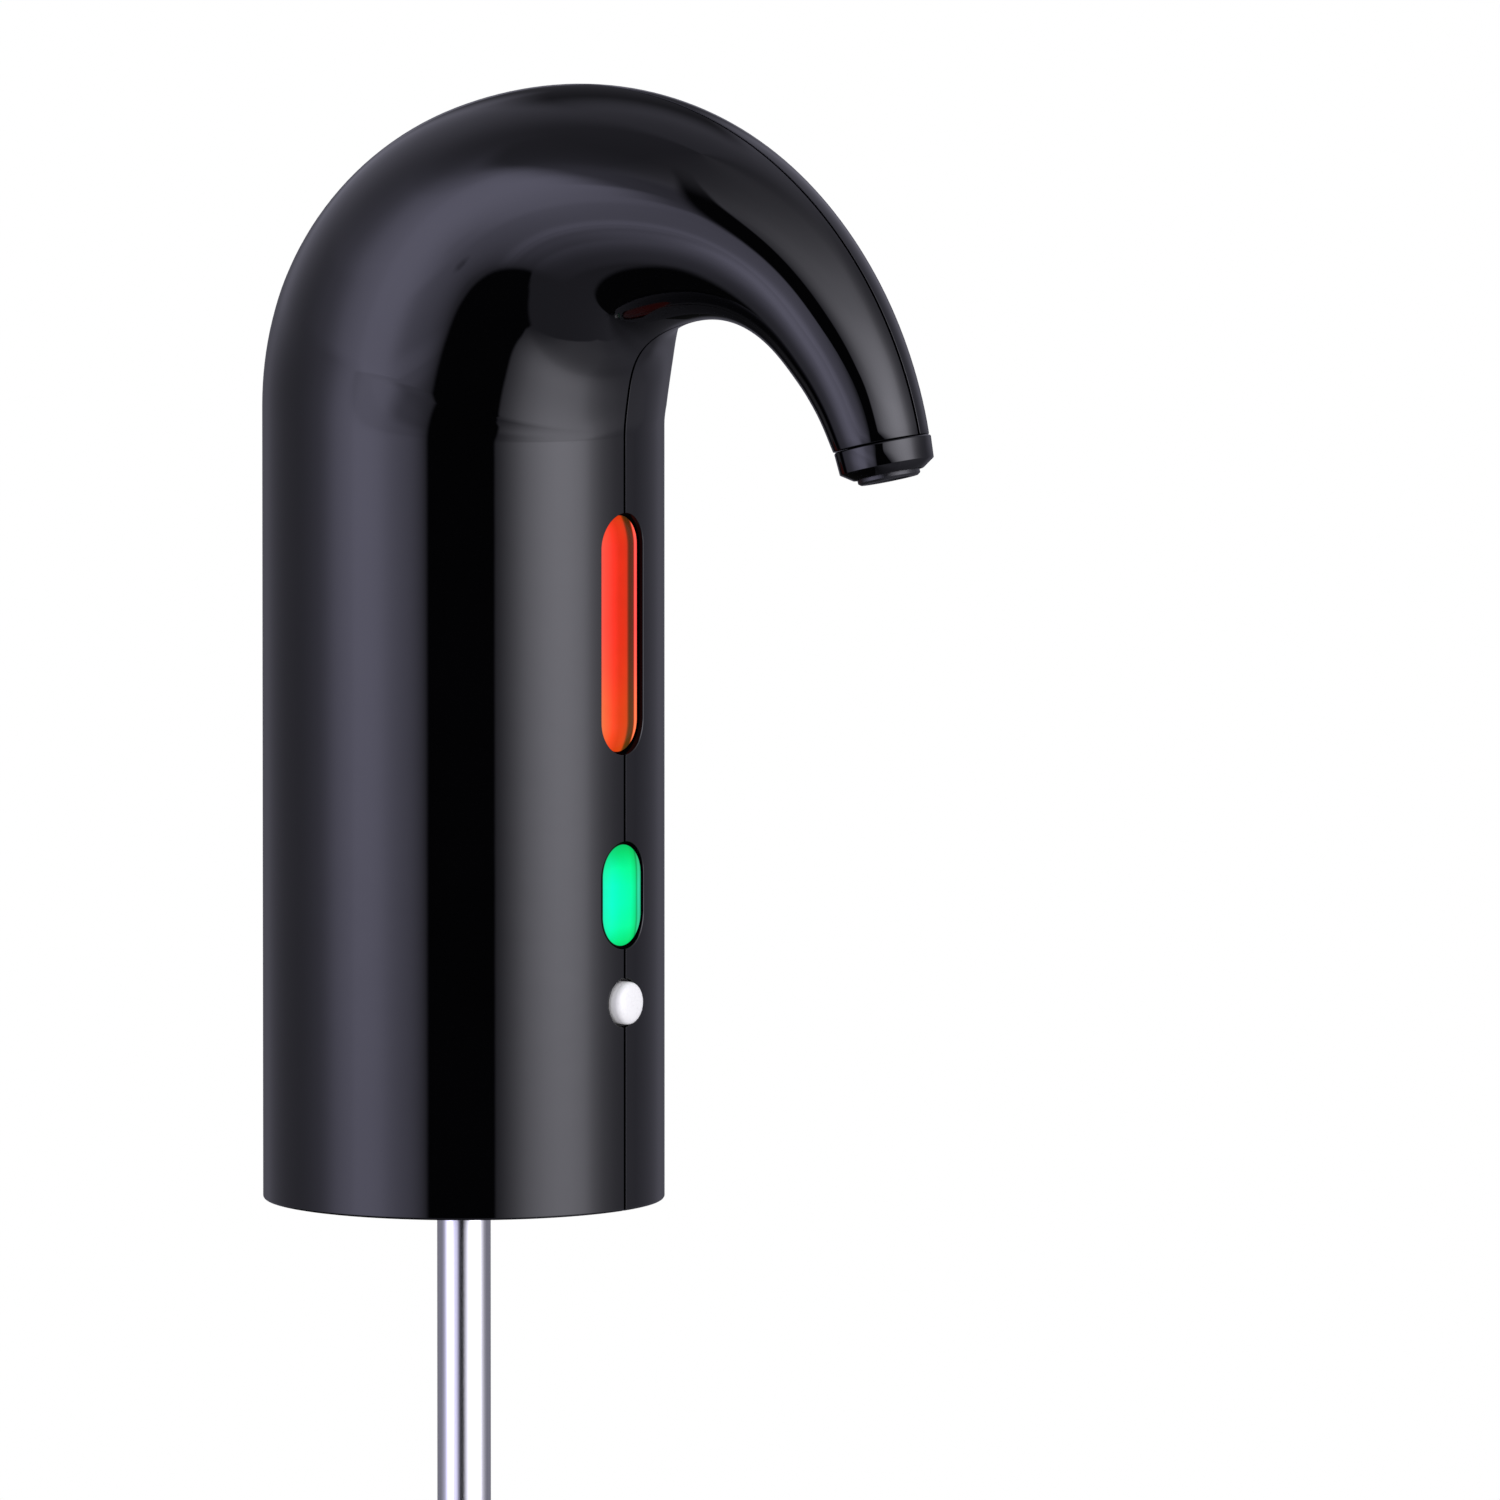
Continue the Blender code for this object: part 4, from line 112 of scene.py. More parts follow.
# Controls
KEY_WIDTH = 0.0096
POUR_KEY_GAP = 0.0003
SMALL_KEY_GAP = 0.0004
POUR_KEY_HEIGHT = 0.0864
POUR_KEY_STRAIGHT = 0.0259
POUR_KEY_RECESS = 0.0009
POUR_KEY_CROWN = 0.0012
AERATE_KEY_HEIGHT = 0.0473
AERATE_KEY_STRAIGHT = 0.0057
AERATE_KEY_RECESS = 0.0002
AERATE_KEY_CROWN = 0.0007
POWER_BUTTON_HEIGHT = 0.0312
POWER_BUTTON_RADIUS = 0.0032
POWER_BUTTON_PROUD = 0.0017
POWER_BUTTON_DOME = 0.0013
DOME_EXPONENT = 2.7
KEY_EDGE = 0.00018
KEY_CROWN_REACH = 0.97
KEY_FLANGE_LIP = 0.0014
KEY_FLANGE = 0.0012
KEY_STEM_RADIUS = 0.0020
KEY_STEM_BACK = 0.0249

# Charging socket
CHARGE_HEIGHT = 0.0130
CHARGE_WIDTH = 0.0089
CHARGE_THICKNESS = 0.0032
CHARGE_RECESS = 0.0014
CHARGE_DEPTH = 0.0073
CHARGE_SHELL = 0.0003
CHARGE_LIP = 0.0001
TONGUE_HALF = 0.00035
TONGUE_SHARE = 0.6
TONGUE_NOSE = 0.0002
TONGUE_NOSE_SHARE = 0.58
TONGUE_NOSE_TAPER = 0.7

# Spout ring and nozzle
RING_INSET = 0.00037
RING_GAP = 0.0001
RING_HEIGHT = 0.0047
RING_STEP = 0.0002
RING_TAPER = 0.0002
RING_FACE_RADIUS = 0.0052
RING_FACE_DROP = 0.0013
RING_POCKET = 0.0006
RING_SLEEVE = 0.0050
RING_WALL = 0.00117
NOZZLE_PROUD = 0.0008
NOZZLE_LIP = 0.0047
NOZZLE_LIP_STEP = 0.0002
NOZZLE_LIP_CHAMFER = 0.0004
NOZZLE_LIP_CHAMFER_RISE = 0.0003
NOZZLE_SHOULDER = 0.0063
NOZZLE_BARB = 0.0027
NOZZLE_BARB_RADIUS = 0.00195
NOZZLE_BARB_TAPER = 0.0002
NOZZLE_OUTLET = 0.0025
NOZZLE_OUTLET_DEPTH = 0.0035
NOZZLE_MOUTH_FLARE = 0.0008
NOZZLE_MOUTH_RISE = 0.0005
NOZZLE_BORE = 0.0012
NOZZLE_SEAL_HEIGHT = 0.0010
NOZZLE_SEAL_WIRE = 0.00045
NOZZLE_GROOVE_DEPTH = 0.00085

# Base cover, its screws, gasket and stopper
BASE_RECESS = 0.0004
BASE_TOP = 0.0028
BASE_CHAMFER = 0.0004
BASE_GROOVE_INSET = 0.0016
BASE_GROOVE_DEPTH = 0.0003
BASE_GROOVE_FLOOR = 0.0005
SOCKET_RADIUS = 0.0170
SOCKET_WALL = 0.0016
SOCKET_DEPTH = 0.0200
SOCKET_TOP = 0.0218
SOCKET_LEAD_IN = 0.0008
VENT_RADIUS = 0.0008
VENT_TOP = 0.0300
COVER_VENT_FOOT = 0.0150
COVER_VENT_OFFSET = 0.0078
STOPPER_VENT_OFFSET = 0.0069
WELL_LEAD_IN = 0.0004
SCREW_CIRCLE = 0.0232
SCREW_TURNS = (225, 315, 135, 45)
SCREW_SHANK = 0.0010
SCREW_HEAD = 0.0018
SCREW_HEAD_HEIGHT = 0.0012
SCREW_HEAD_EDGE = 0.0003
SCREW_LENGTH = 0.0060
SCREW_TIP_SHARE = 0.3
SCREW_THREADS = 14
SCREW_THREAD_END = 0.0006
SCREW_ROOT_SHARE = 0.78
SCREW_SLOT = (0.0021, 0.0005, 0.0012)
SCREW_SLOT_FLOOR_SHARE = 0.45
SCREW_SLOT_TURN = 20
MANIFOLD_STEM_RADIUS = 0.0057
GASKET = 0.0020
GASKET_BORE = 0.0106
GASKET_GROOVE_HALF = 0.0008
GASKET_GROOVE_DEPTH = 0.0005
STOPPER_WIDE = 0.0098
STOPPER_NARROW = 0.0086
STOPPER_COLLAR = 0.0020
STOPPER_FOOT = 0.0030
STOPPER_RIBS = 3
RIB_DEPTH = 0.0008
RIB_EXPONENT = 0.6
RIB_REACH = 0.96

# Suction tube
TUBE_RADIUS = 0.0040
TUBE_WALL = 0.0003
TUBE_LENGTH = 0.1000
TUBE_STAGGER = 0.0050
TUBE_COLLAR = 0.0035
TUBE_COLLAR_STEP = 0.00045
FOOT_RADIUS = 0.0036
FOOT_LENGTH = 0.0100
FOOT_SLEEVE = 0.0060
FOOT_BORE = 0.0020
FOOT_CHAMFER = 0.0007
FOOT_SLOT = 0.0014
FOOT_SLOT_DEPTH = 0.0022
FOOT_SLOT_REACH = 0.006

# Battery cell: ends of its wrap, and the pale band near its top
CELL_FOOT = 0.0490
CELL_TOP = 0.1130
CELL_END_REACH = 0.0050
CELL_BAND_LOW = 0.1030
CELL_BAND_HIGH = 0.1080
CELL_BAND_EDGE = 0.0004

# Camera: the way it stands from the object, in plan, and its framing
CAMERA_X = 0.593
CAMERA_Y = -0.805
CAMERA_ELEVATION = math.radians(6.09)
CAMERA_DISTANCE = 6.0
CAMERA_CLIP = 100
SENSOR_WIDTH = 36
FRAME_WIDTH = 0.22415
AIM_RIGHT = 0.04275
AIM_UP = 0.06681

# Floor: where the object stands in use, clear of the suction tube at its full length
FLOOR_HEIGHT = -0.2823
FLOOR_RADIUS = 0.30
FLOOR_FADE = (0.19, 0.32)
FLOOR_WHITENESS = 0.75


# Shapes


def finished(shape, name, material, place=None):
    """The bmesh as an object in the scene, moved by a matrix if one is given."""
    mesh = bpy.data.meshes.new(name)
    shape.to_mesh(mesh)
    shape.free()
    if place is not None:
        mesh.transform(place)
    mesh.materials.append(material)
    piece = bpy.data.objects.new(name, mesh)
    bpy.context.scene.collection.objects.link(piece)
    return piece


def lay_faces(shape, rows, closed):
    """Faces between neighbouring rows of as many points, which are closed rings or open lines."""
    count = len(rows[0])
    for row, next_row in zip(rows, rows[1:]):
        for index in range(count if closed else count - 1):
            after = (index + 1) % count
            shape.faces.new((row[index], row[after], next_row[after], next_row[index]))


def loft(name, rings, material):
    """A skin over rings of equal point counts, with a flat face at both ends."""
    shape = bmesh.new()
    grid = [[shape.verts.new(point) for point in ring] for ring in rings]
    lay_faces(shape, grid, True)
    shape.faces.new(grid[0][::-1])
    shape.faces.new(grid[-1])
    bmesh.ops.recalc_face_normals(shape, faces=shape.faces)
    return finished(shape, name, material)


def rounded(profile, radius, steps=3):
    """The closed profile with each of its corners rounded, as far as the sides beside it allow."""
    smoothed = []
    for index, corner in enumerate(profile):
        corner = Vector(corner)
        before = Vector(profile[index - 1]) - corner
        after = Vector(profile[(index + 1) % len(profile)]) - corner
        opening = before.angle(after)
        if corner.x == 0 or opening > FLAT_CORNER:
            smoothed.append(tuple(corner))
            continue
        reach = min(radius / math.tan(opening / 2), before.length * CORNER_SHARE, after.length * CORNER_SHARE)
        start = corner + before.normalized() * reach
        end = corner + after.normalized() * reach
        for step in range(steps + 1):
            share = step / steps
            point = start * (1 - share) ** 2 + corner * 2 * share * (1 - share) + end * share**2
            smoothed.append(tuple(point))
    return smoothed


def lathe(name, profile, material, place=None, steps=TURN_STEPS, rounding=EDGE_ROUNDING):
    """A closed profile of (radius, height) turned round its axis, with rounded edges.

    A profile that starts and ends on the axis makes a solid, and any other makes a ring.
    """
    solid = profile[0][0] == 0
    profile = rounded(profile, rounding) if rounding else profile
    shape = bmesh.new()
    columns = []
    for step in range(steps):
        angle = 2 * math.pi * step / steps
        turn = Vector((math.cos(angle), math.sin(angle), 0))
        points = profile[1:-1] if solid else profile
        columns.append([shape.verts.new(turn * radius + Vector((0, 0, height))) for radius, height in points])
    columns.append(columns[0])
    lay_faces(shape, columns, not solid)
    if solid:
        for end, height in ((0, profile[0][1]), (-1, profile[-1][1])):
            middle = shape.verts.new((0, 0, height))
            for column, following in zip(columns, columns[1:]):
                shape.faces.new((middle, column[end], following[end]))
    bmesh.ops.recalc_face_normals(shape, faces=shape.faces)
    return finished(shape, name, material, place)


def stadium(radius, half_straight, steps=PILL_END_STEPS):
    """Outline with round ends and straight sides along its second coordinate, anticlockwise."""
    outline = []
    for end, offset in ((0, half_straight), (1, -half_straight)):
        for step in range(steps + 1):
            angle = math.pi * (end + step / steps)
            outline.append((radius * math.cos(angle), offset + radius * math.sin(angle)))
    return outline


def lying(outline):
    """The outline with its straight sides across instead of up."""
    return [(along, across) for across, along in outline]


def upright(outline, depth, height):
    """The outline in a plane that faces along X, at that depth and height."""
    return [(depth, across, height + along) for across, along in outline]


def on_wall(outline, offset, height, side):
    """The outline laid on the housing's front (1) or back (-1) wall, that far outside it."""
    return [
        (side * (math.sqrt(BODY_RADIUS**2 - across**2) + offset), across, height + along)
        for across, along in outline
    ]


def applied(piece, cutters):
    """Cut the cutters out of a piece with exact Booleans, and delete them."""
    for cutter in cutters:
        modifier = piece.modifiers.new(cutter.name, "BOOLEAN")
        modifier.operation = "DIFFERENCE"
        modifier.solver = "EXACT"
        modifier.object = cutter
    bpy.context.view_layer.update()
    graph = bpy.context.evaluated_depsgraph_get()
    mesh = bpy.data.meshes.new_from_object(piece.evaluated_get(graph))
    shape = bmesh.new()
    shape.from_mesh(mesh)
    bmesh.ops.dissolve_degenerate(shape, dist=WELD_DISTANCE, edges=shape.edges)
    bmesh.ops.holes_fill(shape, edges=[edge for edge in shape.edges if edge.is_boundary], sides=3)
    shape.to_mesh(mesh)
    shape.free()
    piece.modifiers.clear()
    material = piece.data.materials[0]
    piece.data = mesh
    mesh.materials.clear()
    mesh.materials.append(material)
    for polygon in mesh.polygons:
        polygon.material_index = 0
    for cutter in cutters:
        bpy.data.objects.remove(cutter, do_unlink=True)
    return piece


def smooth(piece, degrees=SHARP_ANGLE):
    """Smooth shading with edges kept where the surface turns sharply."""
    piece.data.shade_smooth()
    piece.data.set_sharp_from_angle(angle=math.radians(degrees))
    return piece


def stands_for(piece, node, body):
    """The piece replaces one CAD node and rides on its body."""
    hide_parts(node)
    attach(piece, body)
    return piece


# Housing sections, as in the CAD


def arc_step(turn):
    """Unit vector that starts towards -X and turns over the top towards +X."""
    return Vector((-math.cos(turn), 0, math.sin(turn)))


def heading(turn):
    """Unit vector along an outline that has turned that far from straight up."""
    return Vector((math.sin(turn), 0, math.cos(turn)))


def walked(start, arcs, distance):
    """Point and turn after a distance from the start, upwards and then round arcs of (radius, sweep).

    The way runs straight on past the last arc, and a negative distance leads straight down from the start.
    """
    point, turn = start, 0
    for radius, sweep in arcs:
        step = min(max(distance, 0) / radius, sweep)
        point = point + (arc_step(turn + step) - arc_step(turn)) * radius
        turn += step
        distance -= radius * step
    return point + heading(turn) * distance, turn


def arch_at(distance):
    """Point and turn of the arch outline under the spout, that far along it."""
    return walked(Vector((BODY_RADIUS, 0, STRAIGHT_HEIGHT)), ((ARCH_RADIUS, ARCH_SWEEP),), distance)


def back_at(distance, arcs):
    """Point and turn of the back and crown outline, that far along it."""
    return walked(Vector((-BODY_RADIUS, 0, STRAIGHT_HEIGHT + BACK_RISE)), arcs, distance - BACK_RISE)


def crown_arc():
    """Radius and sweep of the arc that runs on from the back arc to the outer edge of the tip."""
    across_tip = Vector((math.cos(TIP_LEAN), 0, math.sin(TIP_LEAN)))
    back_end, turn = back_at(BACK_RISE + BACK_ARC[0] * BACK_ARC[1], (BACK_ARC,))
    span = arch_at(ARCH_LENGTH)[0] + across_tip * 2 * TIP_RADIUS - back_end
    inward = -span.dot(arc_step(turn))
    onward = span.dot(heading(turn))
    return span.length_squared / (2 * inward), 2 * math.atan2(inward, onward)


ARCH_LENGTH = ARCH_RADIUS * ARCH_SWEEP + ARCH_RUN
BACK_ARCS = (BACK_ARC, crown_arc())
BACK_LENGTH = BACK_RISE + sum(radius * sweep for radius, sweep in BACK_ARCS)


def trim(share, weights):
    """Offset of a shown outline from the CAD's, at a share of its length."""
    offset = 0
    for index, weight in enumerate(weights):
        reach = abs(share * (len(weights) - 2) - index)
        if reach < 1:
            offset += weight * (2 / 3 - reach**2 + reach**3 / 2)
        elif reach < 2:
            offset += weight * (2 - reach) ** 3 / 6
    return offset


def section(share, trimmed=True):
    """Centre, direction to the back and radius of the round section at a share of the bend."""
    arch_share = share**ARCH_EXPONENT
    back, back_turn = back_at(BACK_LENGTH * share, BACK_ARCS)
    arch, arch_turn = arch_at(ARCH_LENGTH * arch_share)
    if trimmed:
        back += arc_step(back_turn) * trim(share, BACK_TRIM)
        arch -= arc_step(arch_turn) * trim(arch_share, ARCH_TRIM)
    across = back - arch
    return (back + arch) / 2, across.normalized(), across.length / 2


def spout_frame():
    """Frame at the centre of the spout's end in the CAD, its local +Z back up the spout."""
    centre, towards_back, _ = section(1, trimmed=False)
    up_spout = towards_back.cross(Vector((0, 1, 0))).normalized()
    if up_spout.z < 0:
        up_spout = -up_spout
    across = Vector((0, 1, 0)).cross(up_spout)
    turn = Matrix((across, Vector((0, 1, 0)), up_spout)).transposed().to_4x4()
    return Matrix.Translation(centre) @ turn


def stations():
    """All sections of the housing from its rounded rim to the spout's rounded end, each with its wall."""
    back = Vector((-1, 0, 0))
    found = []
    for turn in QUARTER_TURN:
        lost = RIM_ROUNDING * (1 - math.sin(turn))
        height = RIM_ROUNDING * (1 - math.cos(turn))
        found.append((Vector((0, 0, height)), back, BODY_RADIUS - lost, WALL - lost))
    for index in range(1, STRAIGHT_RINGS):
        height = RIM_ROUNDING + (STRAIGHT_HEIGHT - RIM_ROUNDING) * index / STRAIGHT_RINGS
        found.append((Vector((0, 0, height)), back, BODY_RADIUS, WALL))
    for index in range(BEND_RINGS):
        share = index / BEND_RINGS
        found.append((*section(share), WALL + (TIP_WALL - WALL) * share))
    centre, towards_back, radius = section(1)
    up_spout = spout_frame().to_3x3() @ Vector((0, 0, 1))
    for turn in QUARTER_TURN:
        lost = TIP_ROUNDING * (1 - math.cos(turn))
        place = centre + up_spout * TIP_ROUNDING * (1 - math.sin(turn))
        found.append((place, towards_back, radius - lost, TIP_WALL - lost))
    return found


def arc_points(radius, start, end, steps):
    """Points along an arc round the origin, from one angle to another."""
    angles = [start + (end - start) * step / steps for step in range(steps + 1)]
    return [Vector((math.cos(angle), math.sin(angle))) * radius for angle in angles]


def half_section(radius, wall, side):
    """Outline of one housing half in a section: outer arc with rounded seam edges, lip, inner arc, lip."""
    rounding = SEAM_ROUNDING[side]
    corner = Vector((0, SEAM_HALF_GAP + rounding))
    corner.x = math.sqrt((radius - rounding) ** 2 - corner.y**2)
    start = math.atan2(corner.y, corner.x)
    edge = [corner + point for point in arc_points(rounding, -math.pi / 2, start, CORNER_STEPS)[:-1]]
    outer = arc_points(radius, start, math.pi - start, OUTER_STEPS)
    lip_radius = radius - wall / 2 + (0 if side > 0 else SEAT_GAP)
    lip_offset = -LIP_REACH if side > 0 else LIP_REACH + SEAT_GAP
    lip_root = Vector((math.sqrt(lip_radius**2 - SEAM_HALF_GAP**2), SEAM_HALF_GAP))
    lip_end = Vector((math.sqrt(lip_radius**2 - lip_offset**2), lip_offset))
    start = math.asin(lip_offset / (radius - wall))
    inner = arc_points(radius - wall, start, math.pi - start, INNER_STEPS)
    mirrored = [Vector((-point.x, point.y)) for point in edge[::-1] + [lip_root, lip_end]]
    return [
        Vector((point.x, point.y * side))
        for point in edge + outer + mirrored + inner[::-1] + [lip_end, lip_root]
    ]


def wall_cutter(name, outline_at, height, edge, side=1):
    """Cutter for an opening in the front (1) or back (-1) wall, with an edge that follows the cylinder.

    The edge gives (growth of the outline, distance outside the wall) pairs, from the inside out.
    """
    rings = [upright(outline_at(0), side * (INNER_RADIUS - CUTTER_BEHIND), height)]
    rings += [on_wall(outline_at(growth), offset, height, side) for growth, offset in edge]
    rings.append(upright(outline_at(edge[-1][0]), side * (BODY_RADIUS + CUTTER_PAST), height))
    return loft(name, rings, gloss_black)


def housing_cutters():
    """Cutters for the three controls' openings, with rounded edges, and for the chamfered charging socket."""
    edge = [(0, -OPENING_ROUNDING)]
    for step in range(1, FLARE_STEPS + 1):
        turn = FLARE_ANGLE * step / FLARE_STEPS
        edge.append((OPENING_ROUNDING * (1 - math.cos(turn)), -OPENING_ROUNDING * (1 - math.sin(turn))))
    flare = Vector((math.sin(FLARE_ANGLE), math.cos(FLARE_ANGLE))) * OPENING_FLARE
    edge.append(tuple(Vector(edge[-1]) + flare))
    openings = (
        ("pour_hole", KEY_WIDTH / 2 + POUR_KEY_GAP, POUR_KEY_STRAIGHT / 2, POUR_KEY_HEIGHT),
        ("aerate_hole", KEY_WIDTH / 2 + SMALL_KEY_GAP, AERATE_KEY_STRAIGHT / 2, AERATE_KEY_HEIGHT),
        ("power_hole", POWER_BUTTON_RADIUS + SMALL_KEY_GAP, NEARLY_ROUND, POWER_BUTTON_HEIGHT),
    )
    cutters = [
        wall_cutter(name, lambda growth: stadium(half_width + growth, half_straight), height, edge)
        for name, half_width, half_straight, height in openings
    ]
    half_height = CHARGE_THICKNESS / 2 + SEAT_GAP
    half_straight = (CHARGE_WIDTH - CHARGE_THICKNESS) / 2
    edge = ((0, -OPENING_ROUNDING), (OPENING_ROUNDING * 3, OPENING_ROUNDING * 2))
    port = wall_cutter(
        "charge_hole", lambda growth: lying(stadium(half_height + growth, half_straight)), CHARGE_HEIGHT,
        edge, -1,
    )
    return cutters + [port]


def skin_normals(rings):
    """The outer skin's points over the bend, in a search tree, and the exact normal at each."""
    outer = range(CORNER_STEPS, CORNER_STEPS + OUTER_STEPS + 1)
    first = CORNER_STEPS + STRAIGHT_RINGS
    points, normals = [], []
    for number in range(first, first + BEND_RINGS):
        for index in outer:
            along = rings[number + 1][index] - rings[number - 1][index]
            before = rings[number][max(index - 1, outer[0])]
            after = rings[number][min(index + 1, outer[-1])]
            normal = along.cross(after - before).normalized()
            centre = (rings[number][outer[0]] + rings[number][outer[-1]]) / 2
            points.append(rings[number][index])
            normals.append(normal if normal.dot(rings[number][index] - centre) > 0 else -normal)
    tree = kdtree.KDTree(len(points))
    for number, point in enumerate(points):
        tree.insert(point, number)
    tree.balance()
    return tree, normals


def true_normals(mesh, rings):
    """Shade the outer wall by its exact shape, so that reflections run smoothly past the openings."""
    tree, bend_normals = skin_normals(rings)
    normals = [normal.vector.copy() for normal in mesh.corner_normals]
    for polygon in mesh.polygons:
        for loop_index in polygon.loop_indices:
            point = mesh.vertices[mesh.loops[loop_index].vertex_index].co
            on_cylinder = abs(math.hypot(point.x, point.y) - BODY_RADIUS) < WALL_TOLERANCE
            if on_cylinder and RIM_ROUNDING - WELD_DISTANCE < point.z < STRAIGHT_HEIGHT - WELD_DISTANCE:
                exact = Vector((point.x, point.y, 0)).normalized()
            else:
                _, number, distance = tree.find(point)
                exact = bend_normals[number] if distance < POINT_TOLERANCE else None
            if exact and polygon.normal.dot(exact) > FACING:
                normals[loop_index] = exact
    mesh.normals_split_custom_set(normals)


def build_housing():
    """The two gloss shells."""
    for node, side in (("housing_left", 1), ("housing_right", -1)):
        rings = []
        for centre, towards_back, radius, wall in stations():
            narrowing = min(1, BODY_RADIUS / radius)
            rings.append([
                centre + towards_back * point.x + Vector((0, point.y * narrowing, 0))
                for point in half_section(radius, wall, side)
            ])
        shell = smooth(applied(loft(node + "_shell", rings, gloss_black), housing_cutters()))
        true_normals(shell.data, rings)
        stands_for(shell, node, "housing")


def flange(half_width):
    """Depths of the back and front of a control's flange, which fits inside the round wall."""
    front = math.sqrt(INNER_RADIUS**2 - half_width**2) - SEAT_GAP
    return front - KEY_FLANGE, front


def pill_key(name, recess, crown, straight, height, material):
    """A lit control: stem, flange behind the wall, side wall, rounded edge and crowned face."""
    half = KEY_WIDTH / 2
    wide = half + KEY_FLANGE_LIP
    edge = math.sqrt(BODY_RADIUS**2 - half**2) - recess
    back, front = flange(wide)
    profile = [(wide, back), (wide, front), (half, front)]
    for turn in QUARTER_TURN:
        profile.append((half - KEY_EDGE * (1 - math.cos(turn)), edge - KEY_EDGE * (1 - math.sin(turn))))
    for step in range(1, CROWN_STEPS + 1):
        share = step / CROWN_STEPS * KEY_CROWN_REACH
        profile.append(((half - KEY_EDGE) * (1 - share), edge + crown * (1 - (1 - share) ** 2)))
    stem = stadium(KEY_STEM_RADIUS, NEARLY_ROUND)
    rings = [upright(stem, KEY_STEM_BACK, height), upright(stem, back, height)]
    rings += [upright(stadium(half_width, straight / 2), depth, height) for half_width, depth in profile]
    return smooth(loft(name, rings, material), KEY_SHARP_ANGLE)


def build_controls():
    """Two lit pills and the domed button, each in its opening."""
    pour = pill_key(
        "pour_key_lens", POUR_KEY_RECESS, POUR_KEY_CROWN, POUR_KEY_STRAIGHT, POUR_KEY_HEIGHT, red_lens
    )
    stands_for(pour, "pour_key", "pour_key")
    aerate = pill_key(
        "aerate_key_lens", AERATE_KEY_RECESS, AERATE_KEY_CROWN, AERATE_KEY_STRAIGHT, AERATE_KEY_HEIGHT,
        green_lens,
    )
    stands_for(aerate, "aerate_key", "aerate_key")
    wide = POWER_BUTTON_RADIUS + KEY_FLANGE_LIP
    back, front = flange(wide)
    top = BODY_RADIUS + POWER_BUTTON_PROUD
    profile = [(0, top)]
    for step in range(1, CROWN_STEPS + 1):
        share = math.sin(math.pi / 2 * step / CROWN_STEPS)
        fullness = (1 - share**DOME_EXPONENT) ** (1 / DOME_EXPONENT)
        profile.append((POWER_BUTTON_RADIUS * share, top - POWER_BUTTON_DOME * (1 - fullness)))
    profile += [
        (POWER_BUTTON_RADIUS, front), (wide, front), (wide, back),
        (KEY_STEM_RADIUS, back), (KEY_STEM_RADIUS, KEY_STEM_BACK), (0, KEY_STEM_BACK),
    ]
    place = Matrix.Translation((0, 0, POWER_BUTTON_HEIGHT)) @ Matrix.Rotation(math.pi / 2, 4, "Y")
    button = lathe("power_button_cap", profile, white_cap, place, SMALL_TURN_STEPS, 0)
    stands_for(smooth(button, KEY_SHARP_ANGLE), "power_button", "power_button")


def build_spout_end():
    """Ring on the spout's end with its dark groove, and the nozzle in it with a groove for its seal."""
    place = spout_frame()
    tip = section(1, trimmed=False)[2]
    sleeve = section(1)[2] - TIP_WALL - SEAT_GAP
    outer = tip - RING_INSET
    bore = tip - TIP_WALL - SEAT_GAP - RING_WALL
    low = -RING_GAP - RING_HEIGHT
    profile = [
        (sleeve, RING_SLEEVE), (sleeve, -RING_GAP), (outer - RING_STEP, -RING_GAP),
        (outer, -RING_GAP - RING_STEP), (outer - RING_TAPER, low + RING_FACE_DROP), (RING_FACE_RADIUS, low),
        (RING_FACE_RADIUS, low + RING_POCKET), (bore, low + RING_POCKET), (bore, RING_SLEEVE),
    ]
    ring = lathe("spout_ring_polished", profile, gloss_black, place, rounding=0.00012)
    stands_for(smooth(ring), "spout_ring", "housing")
    body = bore - SEAT_GAP
    foot = low - NOZZLE_PROUD
    roof = foot + NOZZLE_OUTLET_DEPTH
    top = NOZZLE_SHOULDER + NOZZLE_BARB
    groove = body - NOZZLE_GROOVE_DEPTH
    reach = NOZZLE_SEAL_WIRE + SLIDE_GAP
    seat = low + RING_POCKET - RING_GAP
    profile = [
        (NOZZLE_BARB_RADIUS - NOZZLE_BARB_TAPER, top), (NOZZLE_BARB_RADIUS, top - NOZZLE_BARB / 2),
        (NOZZLE_BARB_RADIUS, NOZZLE_SHOULDER), (body, NOZZLE_SHOULDER),
        (body, NOZZLE_SEAL_HEIGHT + reach), (groove, NOZZLE_SEAL_HEIGHT + reach),
        (groove, NOZZLE_SEAL_HEIGHT - reach), (body, NOZZLE_SEAL_HEIGHT - reach),
        (body, seat), (NOZZLE_LIP - NOZZLE_LIP_STEP, seat), (NOZZLE_LIP, seat - NOZZLE_LIP_STEP),
        (NOZZLE_LIP, foot + NOZZLE_LIP_CHAMFER_RISE), (NOZZLE_LIP - NOZZLE_LIP_CHAMFER, foot),
        (NOZZLE_OUTLET + NOZZLE_MOUTH_FLARE, foot), (NOZZLE_OUTLET, foot + NOZZLE_MOUTH_RISE),
        (NOZZLE_OUTLET, roof), (NOZZLE_BORE, roof + NOZZLE_BORE), (NOZZLE_BORE, top),
    ]
    nozzle = lathe("nozzle_moulded", profile, nozzle_satin, place, rounding=0.0001)
    stands_for(smooth(nozzle), "nozzle", "housing")


def drill(name, low, high, offset, material):
    """Cutter for an air vent that stands beside the axis."""
    profile = [(0, high), (VENT_RADIUS, high), (VENT_RADIUS, low), (0, low)]
    return lathe(name, profile, material, Matrix.Translation((0, offset, 0)), steps=24, rounding=0)


